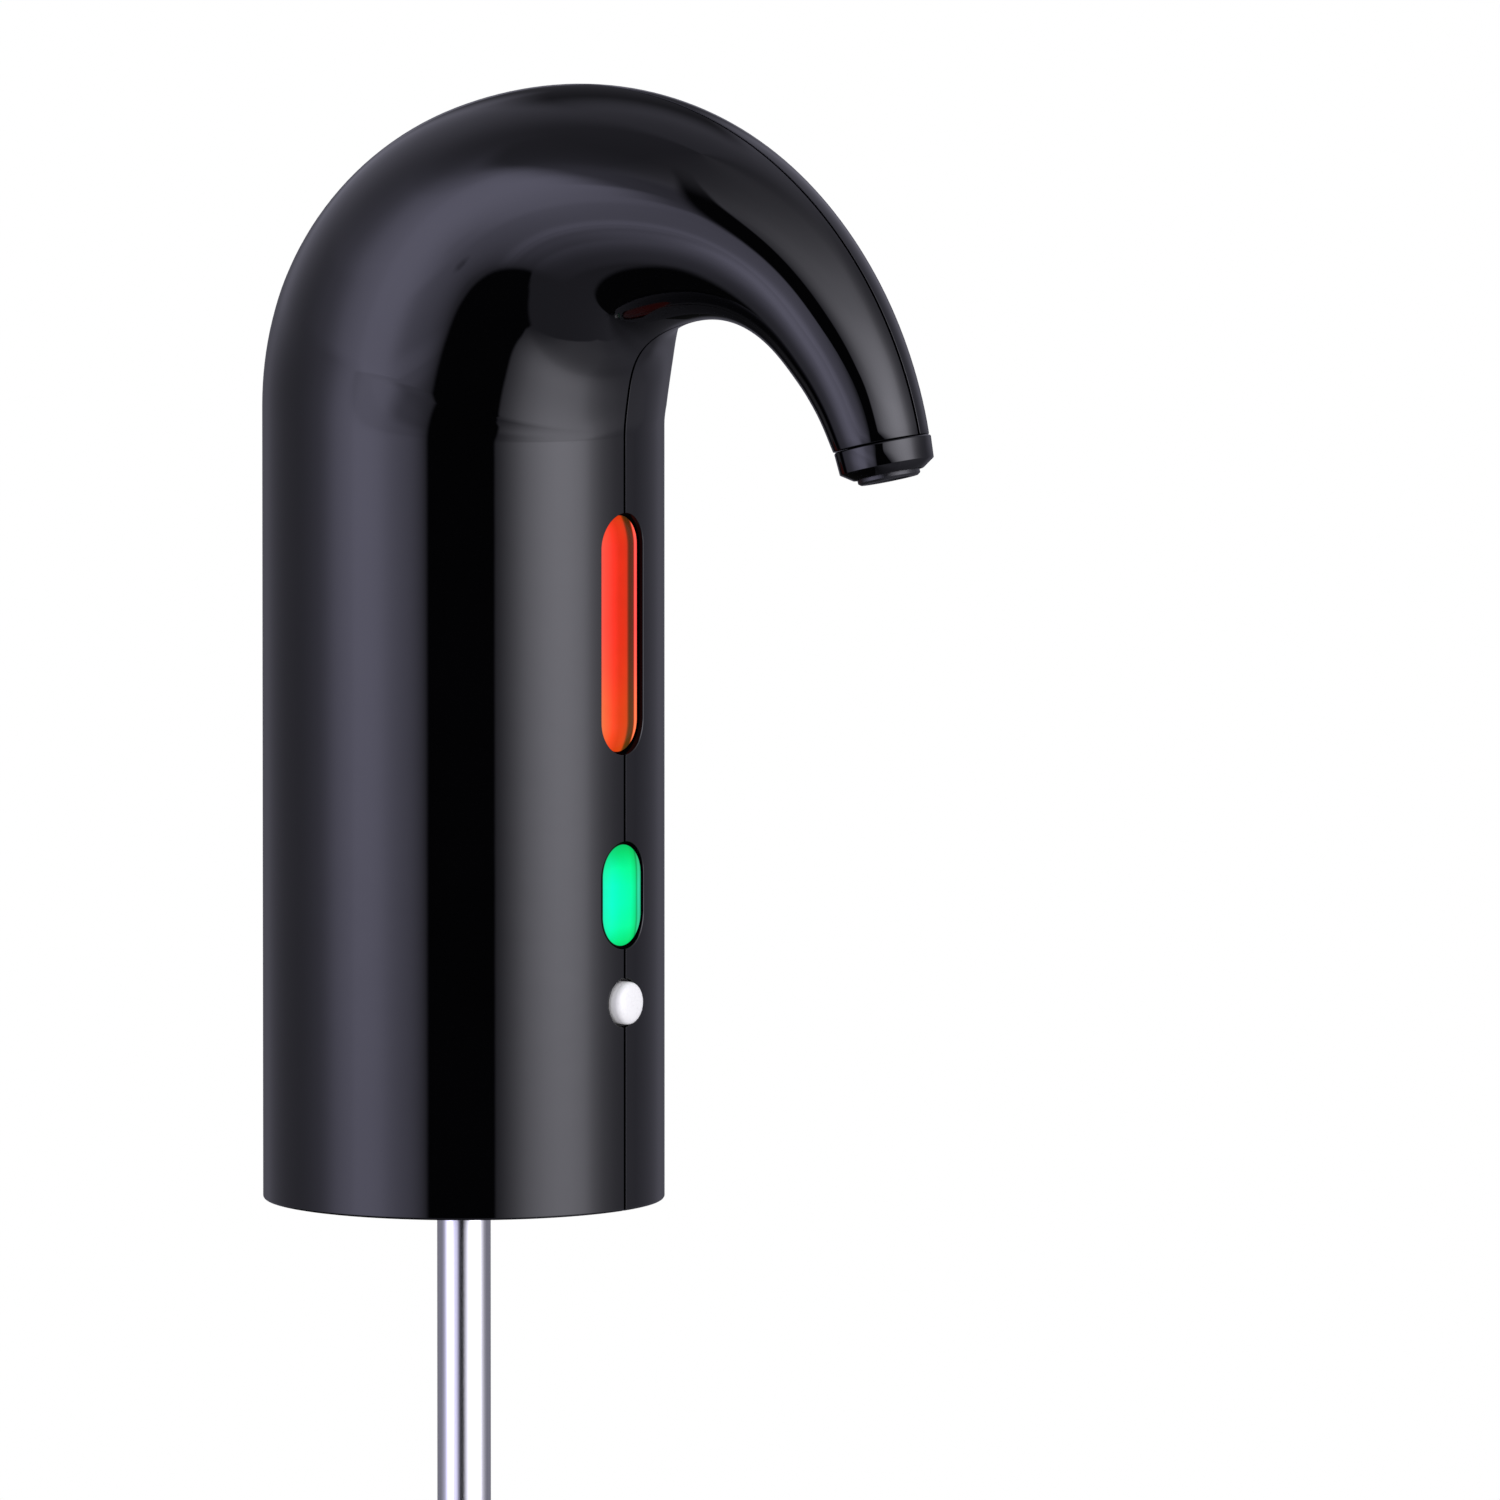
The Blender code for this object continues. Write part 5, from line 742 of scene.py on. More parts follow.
def build_base():
    """Base cover with its socket, screw wells and four screws, the gasket and the ribbed stopper."""
    outer = INNER_RADIUS - SEAT_GAP
    stem_hole = MANIFOLD_STEM_RADIUS + SEAT_GAP
    lead_in = SOCKET_RADIUS + SOCKET_LEAD_IN
    inside = outer - BASE_GROOVE_INSET - 2 * BASE_GROOVE_DEPTH - BASE_GROOVE_FLOOR
    profile = [
        (SOCKET_RADIUS + SOCKET_WALL, SOCKET_TOP), (SOCKET_RADIUS + SOCKET_WALL, BASE_TOP),
        (outer, BASE_TOP), (outer, BASE_RECESS + BASE_CHAMFER), (outer - BASE_CHAMFER, BASE_RECESS),
        (outer - BASE_GROOVE_INSET, BASE_RECESS),
        (outer - BASE_GROOVE_INSET - BASE_GROOVE_DEPTH, BASE_RECESS + BASE_GROOVE_DEPTH),
        (inside + BASE_GROOVE_DEPTH, BASE_RECESS + BASE_GROOVE_DEPTH), (inside, BASE_RECESS),
        ((lead_in + outer) / 2, BASE_RECESS), (lead_in, BASE_RECESS),
        (SOCKET_RADIUS, BASE_RECESS + SOCKET_LEAD_IN), (SOCKET_RADIUS, SOCKET_DEPTH),
        (stem_hole, SOCKET_DEPTH), (stem_hole, SOCKET_TOP),
    ]
    cover = lathe("base_cover_moulded", profile, matte_black, steps=144)
    cutters = [drill("vent", COVER_VENT_FOOT, VENT_TOP, COVER_VENT_OFFSET, matte_black)]
    bearing = BASE_TOP - SCREW_HEAD_HEIGHT
    shank_hole = SCREW_SHANK + SEAT_GAP
    head_hole = SCREW_HEAD + SEAT_GAP
    mouth = head_hole + WELL_LEAD_IN
    well = [
        (0, BASE_TOP + CUTTER_PAST), (shank_hole, BASE_TOP + CUTTER_PAST), (shank_hole, bearing),
        (head_hole, bearing), (head_hole, BASE_RECESS + WELL_LEAD_IN / 2),
        (mouth, BASE_RECESS - WELL_LEAD_IN / 2), (mouth, -CUTTER_PAST), (0, -CUTTER_PAST),
    ]
    for number, turn in enumerate(SCREW_TURNS, 1):
        spot = Matrix.Rotation(math.radians(turn), 4, "Z") @ Matrix.Translation((SCREW_CIRCLE, 0, 0))
        cutters.append(lathe(f"well_{number}", well, matte_black, spot, steps=40, rounding=0))
        screw = cross_head_screw(f"base_screw_{number}_cross", spot, bearing - SEAT_GAP)
        stands_for(screw, f"base_screw_{number}", "housing")
    stands_for(smooth(applied(cover, cutters)), "base_cover", "housing")
    top = SOCKET_DEPTH - SEAT_GAP
    edge = SOCKET_RADIUS - SEAT_GAP
    low = top - GASKET
    middle = (GASKET_BORE + SOCKET_RADIUS) / 2
    profile = [
        (GASKET_BORE, top), (edge, top), (edge, low), (middle + GASKET_GROOVE_HALF, low),
        (middle, low + GASKET_GROOVE_DEPTH), (middle - GASKET_GROOVE_HALF, low), (GASKET_BORE, low),
    ]
    gasket = lathe("seat_gasket_soft", profile, silicone, rounding=0.0004)
    stands_for(smooth(gasket), "seat_gasket", "housing")
    ribs_top = top - STOPPER_COLLAR
    pitch = (ribs_top - STOPPER_FOOT) / STOPPER_RIBS
    profile = [(GASKET_BORE - SEAT_GAP, top), (GASKET_BORE - SEAT_GAP, ribs_top)]
    for rib in range(STOPPER_RIBS):
        crest = STOPPER_WIDE + (STOPPER_NARROW - STOPPER_WIDE) * (rib + 0.5) / STOPPER_RIBS
        for step in range(RIB_STEPS + 1):
            share = step / RIB_STEPS
            hollow = RIB_DEPTH * (1 - abs(math.sin(math.pi * share)) ** RIB_EXPONENT)
            profile.append((crest - hollow, ribs_top - pitch * (rib + share * RIB_REACH)))
    profile += [(stem_hole, STOPPER_FOOT), (stem_hole, top)]
    stopper = lathe("bottle_stopper_soft", profile, silicone, rounding=0.0002)
    applied(stopper, [drill("stopper_vent", 0, VENT_TOP, STOPPER_VENT_OFFSET, silicone)])
    stands_for(smooth(stopper), "bottle_stopper", "housing")


def cross_head_screw(name, spot, bearing):
    """A pan-head screw that points up, with a cross recess and a threaded shank."""
    low = bearing - SCREW_HEAD_HEIGHT + SEAT_GAP
    top = bearing + SCREW_LENGTH
    profile = [(0, top), (SCREW_SHANK * SCREW_TIP_SHARE, top)]
    for step in range(SCREW_THREADS, 0, -1):
        height = bearing + (SCREW_LENGTH - SCREW_THREAD_END) * step / SCREW_THREADS
        root = height - SCREW_LENGTH / SCREW_THREADS / 2
        profile += [(SCREW_SHANK, height), (SCREW_SHANK * SCREW_ROOT_SHARE, root)]
    profile += [
        (SCREW_SHANK, bearing), (SCREW_HEAD, bearing), (SCREW_HEAD, low + SCREW_HEAD_EDGE),
        (SCREW_HEAD - SCREW_HEAD_EDGE / 3, low + SCREW_HEAD_EDGE / 2),
        (SCREW_HEAD - SCREW_HEAD_EDGE * 4 / 3, low), (0, low),
    ]
    screw = lathe(name, profile, steel, spot, steps=32, rounding=0)
    cutters = []
    for turn in (0, 90):
        shape = bmesh.new()
        bmesh.ops.create_cube(shape, size=1)
        for vert in shape.verts:
            if vert.co.z > 0:
                vert.co.xy *= SCREW_SLOT_FLOOR_SHARE
            vert.co = vert.co * Vector(SCREW_SLOT) + Vector((0, 0, low))
        place = spot @ Matrix.Rotation(math.radians(turn + SCREW_SLOT_TURN), 4, "Z")
        cutters.append(finished(shape, f"slot_{turn}", steel, place))
    return smooth(applied(screw, cutters))


def build_tube():
    """Three telescopic sections with rolled collars, and the slotted foot."""
    end = SOCKET_TOP - TUBE_LENGTH
    radius = TUBE_RADIUS
    for index, (node, body) in enumerate((("tube_upper", "housing"), ("tube_middle", "tube_middle"))):
        bore = radius - TUBE_WALL
        collar = radius + TUBE_COLLAR_STEP
        collar_top = end + TUBE_COLLAR if index == 0 else end - SEAT_GAP
        end = collar_top - TUBE_COLLAR
        top = SOCKET_TOP - TUBE_STAGGER * index
        profile = [(radius, top), (radius, collar_top), (collar, collar_top)]
        profile += [(collar, end), (bore, end), (bore, top)]
        tube = lathe(node + "_drawn", profile, tube_steel, rounding=0.0003)
        stands_for(smooth(tube), node, body)
        radius = bore - SLIDE_GAP
    foot_top = end - SEAT_GAP
    lower_end = foot_top - FOOT_SLEEVE
    bore = radius - TUBE_WALL
    top = SOCKET_TOP - 2 * TUBE_STAGGER
    profile = [(radius, top), (radius, lower_end), (bore, lower_end), (bore, top)]
    stands_for(smooth(lathe("tube_lower_drawn", profile, tube_steel)), "tube_lower", "tube_lower")
    sleeve = radius + SLIDE_GAP
    shelf = lower_end - SEAT_GAP
    low = foot_top - FOOT_LENGTH
    profile = [
        (FOOT_RADIUS, foot_top), (FOOT_RADIUS, low + FOOT_CHAMFER), (FOOT_RADIUS - FOOT_CHAMFER, low),
        (FOOT_BORE, low), (FOOT_BORE, shelf), (sleeve, shelf), (sleeve, foot_top),
    ]
    foot = lathe("tube_foot_moulded", profile, matte_black, steps=SMALL_TURN_STEPS)
    cutters = []
    for turn in (0, 90):
        outline = stadium(FOOT_SLOT / 2, FOOT_SLOT_DEPTH, steps=12)
        rings = [upright(outline, depth, low) for depth in (-FOOT_SLOT_REACH, FOOT_SLOT_REACH)]
        slot = loft(f"foot_slot_{turn}", rings, matte_black)
        slot.data.transform(Matrix.Rotation(math.radians(turn), 4, "Z"))
        cutters.append(slot)
    stands_for(smooth(applied(foot, cutters)), "tube_foot", "tube_lower")


def build_charge_port():
    """Charging socket: a rolled metal shell, and the contact tongue inside it."""
    mouth = CHARGE_RECESS - BODY_RADIUS
    half = CHARGE_THICKNESS / 2
    straight = CHARGE_WIDTH / 2 - half
    back = mouth + CHARGE_DEPTH
    profile = (
        (half, back), (half, mouth + CHARGE_LIP), (half - CHARGE_LIP, mouth), (half - 2 * CHARGE_LIP, mouth),
        (half - CHARGE_SHELL, mouth + CHARGE_LIP), (half - CHARGE_SHELL, back - CHARGE_SHELL),
    )
    rings = [
        upright(lying(stadium(reach, straight, steps=16)), depth, CHARGE_HEIGHT)
        for reach, depth in profile
    ]
    port = smooth(loft("charge_port_shell", rings, steel))
    stands_for(port, "charge_port", "housing")
    nose = mouth + CHARGE_SHELL
    profile = (
        (TONGUE_HALF, TONGUE_SHARE, back - CHARGE_SHELL), (TONGUE_HALF, TONGUE_SHARE, nose + TONGUE_NOSE),
        (TONGUE_HALF * TONGUE_NOSE_TAPER, TONGUE_NOSE_SHARE, nose),
    )
    rings = [
        upright(lying(stadium(reach, straight * share, steps=8)), depth, CHARGE_HEIGHT)
        for reach, share, depth in profile
    ]
    tongue = smooth(loft("charge_port_tongue", rings, contact_tongue))
    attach(tongue, "housing")


# Materials


class Nodes:
    """A node tree, and short ways to add what the materials and the world are made of."""

    def __init__(self, tree):
        self.tree = tree

    def add(self, kind, sockets=None, **settings):
        """Add a node, set its settings, and fill its sockets with values or other nodes' outputs."""
        node = self.tree.nodes.new("ShaderNode" + kind)
        for name, value in settings.items():
            setattr(node, name, value)
        for name, value in (sockets or {}).items():
            if isinstance(value, bpy.types.NodeSocket):
                self.tree.links.new(value, node.inputs[name])
            else:
                node.inputs[name].default_value = value
        return node

    def maths(self, operation, first, *others):
        """A Math node's output, or a chain of them that takes in the other values one by one."""
        if not others:
            return self.add("Math", {0: first}, operation=operation).outputs[0]
        for other in others:
            first = self.add("Math", {0: first, 1: other}, operation=operation).outputs[0]
        return first

    def product(self, *factors):
        return self.maths("MULTIPLY", *factors)

    def total(self, *values):
        return self.maths("ADD", *values)

    def less(self, first, second):
        return self.maths("SUBTRACT", first, second)

    def vector(self, operation, first, second=(0, 0, 0), output="Vector"):
        """One output of a Vector Math node."""
        return self.add("VectorMath", {0: first, 1: second}, operation=operation).outputs[output]

    def remap(self, value, low, high, to_low=0.0, to_high=1.0, kind="SMOOTHSTEP"):
        """Output of a Map Range node."""
        sockets = {"Value": value, "From Min": low, "From Max": high, "To Min": to_low, "To Max": to_high}
        return self.add("MapRange", sockets, interpolation_type=kind).outputs[0]

    def curve(self, value, points):
        """Output that runs through (input, output) points, and stays level outside them."""
        lowest = min(output for _, output in points)
        highest = max(output for _, output in points)
        first, last = points[0][0], points[-1][0]
        node = self.add("FloatCurve", {"Value": self.remap(value, first, last, kind="LINEAR")})
        shape = node.mapping.curves[0].points
        while len(shape) < len(points):
            shape.new(0.5, 0.5)
        for spot, (position, output) in zip(shape, points):
            spot.location = ((position - first) / (last - first), (output - lowest) / (highest - lowest))
            spot.handle_type = "AUTO_CLAMPED"
        node.mapping.update()
        return self.remap(node.outputs[0], 0, 1, lowest, highest, "LINEAR")

    def ramp(self, factor, stops):
        """Output of a colour ramp with (position, colour) stops."""
        node = self.add("ValToRGB", {"Fac": factor})
        elements = node.color_ramp.elements
        while len(elements) < len(stops):
            elements.new(0.5)
        for element, (position, colour) in zip(elements, stops):
            element.position = position
            element.color = (*colour, 1)
        return node.outputs[0]

    def shades(self, factor, dark, light):
        """Colour between two near shades, as a noise drives it."""
        return self.ramp(factor, ((NOISE_LOW, dark), (NOISE_HIGH, light)))

    def mix(self, share, first, second, blend="MIX"):
        """Colour mixed from two others."""
        sockets = {0: share, 6: first, 7: second}
        return self.add("Mix", sockets, data_type="RGBA", blend_type=blend).outputs[2]

    def blend(self, share, first, second):
        """Shader mixed from two others."""
        return self.add("MixShader", {0: share, 1: first, 2: second}).outputs[0]

    def place(self):
        """The object's own coordinates."""
        return self.add("TexCoord").outputs["Object"]

    def along(self, axis):
        """The object's own coordinate along one axis."""
        return self.add("SeparateXYZ", {"Vector": self.place()}).outputs[axis]

    def noise(self, scale, detail=3.0, stretch=(1, 1, 1), offset=(0, 0, 0)):
        """Noise over the object's own coordinates, with features of about 1/scale metres."""
        place = self.add("Mapping", {"Vector": self.place(), "Scale": stretch, "Location": offset}).outputs[0]
        return self.add("TexNoise", {"Vector": place, "Scale": scale, "Detail": detail}).outputs[0]


class Finish(Nodes):
    """A new material round one Principled shader, with the given constants on the shader's sockets."""

    def __init__(self, name, **constants):
        self.material = bpy.data.materials.new(name)
        self.material.use_nodes = True
        super().__init__(self.material.node_tree)
        self.shader = self.tree.nodes["Principled BSDF"]
        for key, value in constants.items():
            self.shader.inputs[key.replace("_", " ").title().replace("Ior", "IOR")].default_value = value

    def drive(self, socket, output):
        """Drive one of the shader's sockets."""
        self.tree.links.new(output, self.shader.inputs[socket])

    def tint(self, factor, dark, light):
        """Drive the base colour between two near shades."""
        self.drive("Base Color", self.shades(factor, dark, light))

    def rough(self, factor, low, high):
        """Drive the roughness between two values."""
        self.drive("Roughness", self.remap(factor, NOISE_LOW, NOISE_HIGH, low, high))

    def bump(self, height, distance, strength=1.0):
        """Drive the surface normal from a height."""
        bump = self.add("Bump", {"Height": height, "Distance": distance, "Strength": strength})
        self.drive("Normal", bump.outputs[0])


# Where nearly all of a noise lies
NOISE_LOW = 0.3
NOISE_HIGH = 0.7

# Colours of the lit lenses across and along them. The colours across also hold painted reflections: on both
# lenses a dark painted reflection stripe near the right edge with a lighter painted highlight beyond it, on
# the red lens a pale painted highlight along its left edge and a fall-off of the glow from left to right that
# stands in for a reflection. Then the colour of the painted shade round the lenses' edges, and how much of
# the glow reflections lose
RED_GLOW_AND_REFLECTIONS_ACROSS = (
    (0.0, (0.85, 0.24, 0.075)), (0.12, (0.98, 0.14, 0.035)), (0.25, (0.98, 0.065, 0.012)),
    (0.37, (0.75, 0.05, 0.004)), (0.50, (0.72, 0.06, 0.004)), (0.56, (0.62, 0.065, 0.006)),
    (0.60, (0.16, 0.04, 0.002)), (0.64, (0.03, 0.035, 0.002)), (0.77, (0.03, 0.03, 0.002)),
    (0.81, (0.35, 0.06, 0.01)), (0.85, (1.3, 0.25, 0.10)), (0.95, (1.5, 0.28, 0.11)),
    (1.0, (0.35, 0.04, 0.012)),
)
RED_ALONG = (
    (0.0, (0.92, 1.0, 0.95)), (0.19, (0.95, 0.86, 0.9)), (0.33, (1.0, 0.62, 1.0)), (0.5, (1.0, 0.44, 1.0)),
    (0.87, (1.0, 0.42, 0.95)), (0.95, (1.0, 0.55, 0.9)), (1.0, (0.9, 0.7, 0.6)),
)
# Green lens across: painted dark reflection stripe near 0.83, painted highlight from 0.87 to 0.93
GREEN_GLOW_AND_REFLECTIONS_ACROSS = (
    (0.0, (0.005, 0.85, 0.50)), (0.18, (0.0, 1.0, 0.62)), (0.38, (0.0, 1.0, 0.48)), (0.64, (0.0, 0.96, 0.40)),
    (0.78, (0.0, 0.72, 0.25)), (0.83, (0.0, 0.32, 0.11)), (0.87, (0.02, 0.62, 0.34)),
    (0.93, (0.03, 0.60, 0.36)), (1.0, (0.0, 0.18, 0.08)),
)
GREEN_ALONG = (
    (0.0, (1, 0.6, 0.3)), (0.06, (1, 0.8, 0.45)), (0.2, (1, 0.96, 0.78)), (0.42, (1, 1, 1)),
    (0.6, (1, 1, 0.95)), (0.76, (1, 0.95, 0.7)), (0.92, (1, 0.66, 0.32)), (1.0, (1, 0.5, 0.25)),
)
LENS_RIM_SHADE = (0.006, 0.005, 0.005)
LENS_DIM_AND_RIM_SHADE = (0.004, 0.003, 0.003, 1)
LENS_RIM_SHADE_FROM = 0.00016
LENS_RIM_SHADE_TO = 0.00003
LENS_MIRRORED_LOSS = 0.95
LENS_GRAIN = 0.06


def grained(name, grains, shades, roughness, depth, strength=1.0, **constants):
    """A finish whose colour, roughness and height each follow a noise, and run between two given values.

    The grains are the noises' scale, detail and stretch. One that stands alone serves for all three.
    """
    look = Finish(name, **constants)
    noises = [look.noise(*grain) for grain in grains]
    look.tint(noises[0], *shades)
    look.rough(noises[len(noises) // 2], *roughness)
    look.bump(noises[-1], depth, strength)
    return look.material


def textured_plastic(name, shades, roughness, depth=0.00004):
    """Moulded plastic with a fine spark-eroded texture."""
    return grained(name, ((300,), (900,), (5000, 4.0)), shades, roughness, depth, 0.6, ior=1.5)


def brushed_metal(name, shades, stretch, roughness):
    """Metal with fine lines along one direction."""
    lines = (1500, 4.0, stretch)
    return grained(name, (lines, (600, 3.0, stretch), lines), shades, roughness, 0.000006, metallic=1.0)


def lit_lens(name, base, across, along, height, half_straight):
    """A clear lens lit from behind, with painted shade round its edge and with a glow that changes across and
    along it, which also holds painted highlights and a painted reflection.

    The glow is dimmed for reflections: on the photograph the gloss body hardly mirrors it.
    """
    look = Finish(name, ior=1.5, specular_ior_level=0.05, emission_strength=1.0)
    half = KEY_WIDTH / 2
    end = half_straight + half
    sideways = look.remap(look.along("Y"), -half, half, kind="LINEAR")
    upwards = look.remap(look.along("Z"), height - end, height + end, kind="LINEAR")
    # The glow across carries the painted highlights, painted reflection stripe and painted fall-off as well
    # as the light from behind
    glow_and_reflections = look.mix(1.0, look.ramp(sideways, across), look.ramp(upwards, along), "MULTIPLY")
    # Painted shade round the lens's edge: a mask from the distance to the edge, used in the glow and in the
    # base colour
    beyond = look.less(look.maths("ABSOLUTE", look.less(look.along("Z"), height)), half_straight)
    beyond = look.maths("MAXIMUM", beyond, 0)
    reach = look.total(look.maths("POWER", beyond, 2), look.maths("POWER", look.along("Y"), 2))
    rim_shade = look.remap(look.maths("SQRT", reach), half - LENS_RIM_SHADE_FROM, half - LENS_RIM_SHADE_TO)
    mirrored = look.product(look.add("LightPath").outputs["Is Glossy Ray"], LENS_MIRRORED_LOSS)
    grain = look.remap(look.noise(260), NOISE_LOW, NOISE_HIGH, LENS_GRAIN, 0.0)
    # The glow turns dark at the painted edge shade, in reflections and with the grain
    look.drive("Emission Color", look.mix(look.maths("MAXIMUM", rim_shade, mirrored, grain), glow_and_reflections, LENS_DIM_AND_RIM_SHADE))
    look.tint(rim_shade, base, LENS_RIM_SHADE)
    look.rough(look.noise(700), 0.12, 0.2)
    look.bump(look.noise(400), 0.000003)
    return look.material


def sintered_ferrite():
    """Grey-black pressed ferrite with a fine grain and paler chips."""
    look = Finish("ferrite_sintered", ior=1.6)
    grain = look.noise(2200, 5.0)
    look.tint(look.remap(grain, 0.5, 0.72), (0.035, 0.034, 0.036), (0.13, 0.128, 0.13))
    look.rough(grain, 0.5, 0.75)
    look.bump(grain, 0.00003)
    return look.material


def wound_copper():
    """Enamelled wire laid in turns along the rotor, with a painted highlight on each wire's crest and painted
    shade in the grooves between the turns.
    """
    look = Finish("copper_wound", metallic=0.85)
    wave = {"Vector": look.place(), "Scale": 620.0, "Distortion": 1.2, "Detail": 2.0, "Detail Scale": 1.5}
    turns = look.add("TexWave", wave, bands_direction="Z").outputs["Fac"]
    patches = look.noise(300)
    # Painted highlight on the crests and painted shade in the grooves, varied in patches
    crest_highlight_groove_shade = look.product(turns, look.remap(patches, 0.2, 0.6, 0.6, 1.0))
    look.tint(crest_highlight_groove_shade, (0.20, 0.065, 0.025), (0.78, 0.33, 0.16))
    look.rough(patches, 0.25, 0.42)
    look.bump(turns, 0.00008)
    return look.material


def cell_wrap():
    """Shrunk blue film over the cell, with wrinkles near both ends and one pale band."""
    look = Finish("cell_film", ior=1.5)
    height = look.along("Z")
    band = look.product(
        look.remap(height, CELL_BAND_LOW, CELL_BAND_LOW + CELL_BAND_EDGE),
        look.remap(height, CELL_BAND_HIGH, CELL_BAND_HIGH - CELL_BAND_EDGE),
    )
    mottle = look.noise(180)
    blue = look.shades(mottle, (0.016, 0.085, 0.30), (0.028, 0.13, 0.40))
    pale = look.shades(mottle, (0.62, 0.64, 0.66), (0.72, 0.74, 0.75))
    look.drive("Base Color", look.mix(band, blue, pale))
    foot = look.remap(height, CELL_FOOT + CELL_END_REACH, CELL_FOOT)
    top = look.remap(height, CELL_TOP - CELL_END_REACH, CELL_TOP)
    ends = look.total(look.maths("MAXIMUM", foot, top), 0.15)
    look.rough(mottle, 0.16, 0.28)
    look.bump(look.product(look.noise(900, 2.0, (1, 1, 0.15)), ends), 0.0001)
    return look.material


def circuit_board():
    """Green solder mask over copper tracks, with tinned pads where tracks meet."""
    look = Finish("board_solder_mask", ior=1.5)
    turned = look.add("VectorRotate", {"Vector": look.place(), "Angle": math.pi / 2}, rotation_type="Y_AXIS")
    black, white = (0, 0, 0, 1), (1, 1, 1, 1)
    bricks = {"Vector": turned.outputs[0], "Scale": 150.0, "Mortar Size": 0.035, "Mortar Smooth": 0.2}
    bricks |= {"Color1": black, "Color2": black, "Mortar": white}
    tracks = look.add("TexBrick", bricks, offset=0.35).outputs["Fac"]
    cells = look.add("TexVoronoi", {"Vector": look.place(), "Scale": 340.0, "Randomness": 0.55})
    pads = look.remap(cells.outputs["Distance"], 0.17, 0.14)
    mask = look.shades(look.noise(400), (0.004, 0.075, 0.022), (0.007, 0.105, 0.032))
    raised = look.mix(look.product(tracks, 0.8), mask, (0.020, 0.21, 0.065, 1))
    look.drive("Base Color", look.mix(pads, raised, (0.60, 0.59, 0.55, 1)))
    look.drive("Metallic", look.product(pads, 0.9))
    look.rough(look.noise(700), 0.24, 0.38)
    look.bump(look.maths("MAXIMUM", tracks, pads), 0.00002)
    return look.material


# Piano black: nearly no colour of its own, polished, with the faint waviness of a moulding
gloss_black = grained(
    "gloss_black_polished", ((40,), (90, 3.0, (1, 1, 1), (0.3, 0, 0)), (160, 1.0)),
    ((0.0003, 0.0003, 0.0005), (0.0006, 0.0006, 0.0009)), (0.02, 0.04), 0.000004, ior=1.5,
)
matte_black = textured_plastic(
    "matte_black_textured", ((0.018, 0.018, 0.020), (0.030, 0.030, 0.034)), (0.42, 0.6)
)
natural_plastic = textured_plastic(
    "natural_plastic_moulded", ((0.72, 0.71, 0.65), (0.82, 0.81, 0.77)), (0.38, 0.5)
)
nozzle_satin = textured_plastic(
    "nozzle_satin", ((0.012, 0.012, 0.014), (0.020, 0.020, 0.023)), (0.22, 0.34), 0.000008
)
white_cap = textured_plastic(
    "white_cap_satin", ((0.93, 0.925, 0.91), (0.96, 0.955, 0.94)), (0.25, 0.35), 0.000004
)
contact_tongue = textured_plastic("contact_tongue", ((0.02, 0.02, 0.02), (0.03, 0.03, 0.03)), (0.4, 0.5))
steel = brushed_metal("steel_brushed", ((0.55, 0.55, 0.57), (0.70, 0.70, 0.72)), (1, 1, 0.02), (0.18, 0.34))
tube_steel = brushed_metal(
    "tube_steel_drawn", ((0.58, 0.58, 0.60), (0.72, 0.72, 0.73)), (1, 1, 0.01), (0.12, 0.22)
)

# Brass with the rings a lathe leaves
brass = grained(
    "brass_turned", ((900, 3.0, (0.05, 0.05, 3)),), ((0.60, 0.40, 0.13), (0.80, 0.58, 0.24)), (0.2, 0.36),
    0.00001, metallic=1.0,
)

# Soft grey silicone with a dusty bloom
silicone = grained(
    "silicone_soft", ((200,), (1200,), (3000,)), ((0.50, 0.51, 0.53), (0.60, 0.61, 0.63)), (0.5, 0.7),
    0.00002, 0.5, subsurface_weight=0.15, subsurface_scale=0.002, ior=1.41,
)

# Milky resin of a small lamp, faintly warm, with flow marks
led_resin = grained(
    "led_resin_milky", ((1400, 4.0),), ((0.62, 0.61, 0.52), (0.86, 0.85, 0.78)), (0.12, 0.3), 0.00001,
    ior=1.5, subsurface_weight=0.2, subsurface_scale=0.001,
)
red_lens = lit_lens(
    "red_lens_lit", (0.10, 0.008, 0.004), RED_GLOW_AND_REFLECTIONS_ACROSS, RED_ALONG, POUR_KEY_HEIGHT, POUR_KEY_STRAIGHT / 2
)
green_lens = lit_lens(
    "green_lens_lit", (0.0, 0.10, 0.03), GREEN_GLOW_AND_REFLECTIONS_ACROSS, GREEN_ALONG, AERATE_KEY_HEIGHT, AERATE_KEY_STRAIGHT / 2
)

FINISHES = {
    "gloss_black": gloss_black, "matte_black": matte_black, "natural_plastic": natural_plastic,
    "white_cap": white_cap, "red_lens": red_lens, "green_lens": green_lens, "steel": steel,
    "silicone": silicone, "brass": brass, "ferrite": sintered_ferrite(), "copper": wound_copper(),
    "cell_wrap": cell_wrap(), "board_green": circuit_board(), "led_resin": led_resin,
}


def finish_solids():
    """Give every solid that is shown as it is the detailed finish of its slot."""
    for subpart in frame["record"]["subparts"]:
        for slot in frame["nodes"][subpart["node"]].material_slots:
            slot.material = FINISHES[subpart["material_slot"]]


build_housing()
build_controls()
build_spout_end()
build_base()
build_tube()
build_charge_port()
finish_solids()


# Stage

# Light levels and tints of the room that gloss reflects, and the plain light for matt surfaces
BOX_TINT_LEFT = (1.0, 0.97, 1.34)
BOX_TINT_RIGHT = (1.0, 0.985, 1.1)
ROOM_LEVEL = 0.22
ROOM_TINT = (1.0, 0.98, 1.23)
CARD_DARKNESS = 0.85
HAZE = (0.012, 0.012, 0.012)
PLAIN_SHARE = (0.4, 0.4, 0.4)
PLAIN_LEVEL = (0.5, 0.5, 0.5)
WHITE = (1, 1, 1, 1)


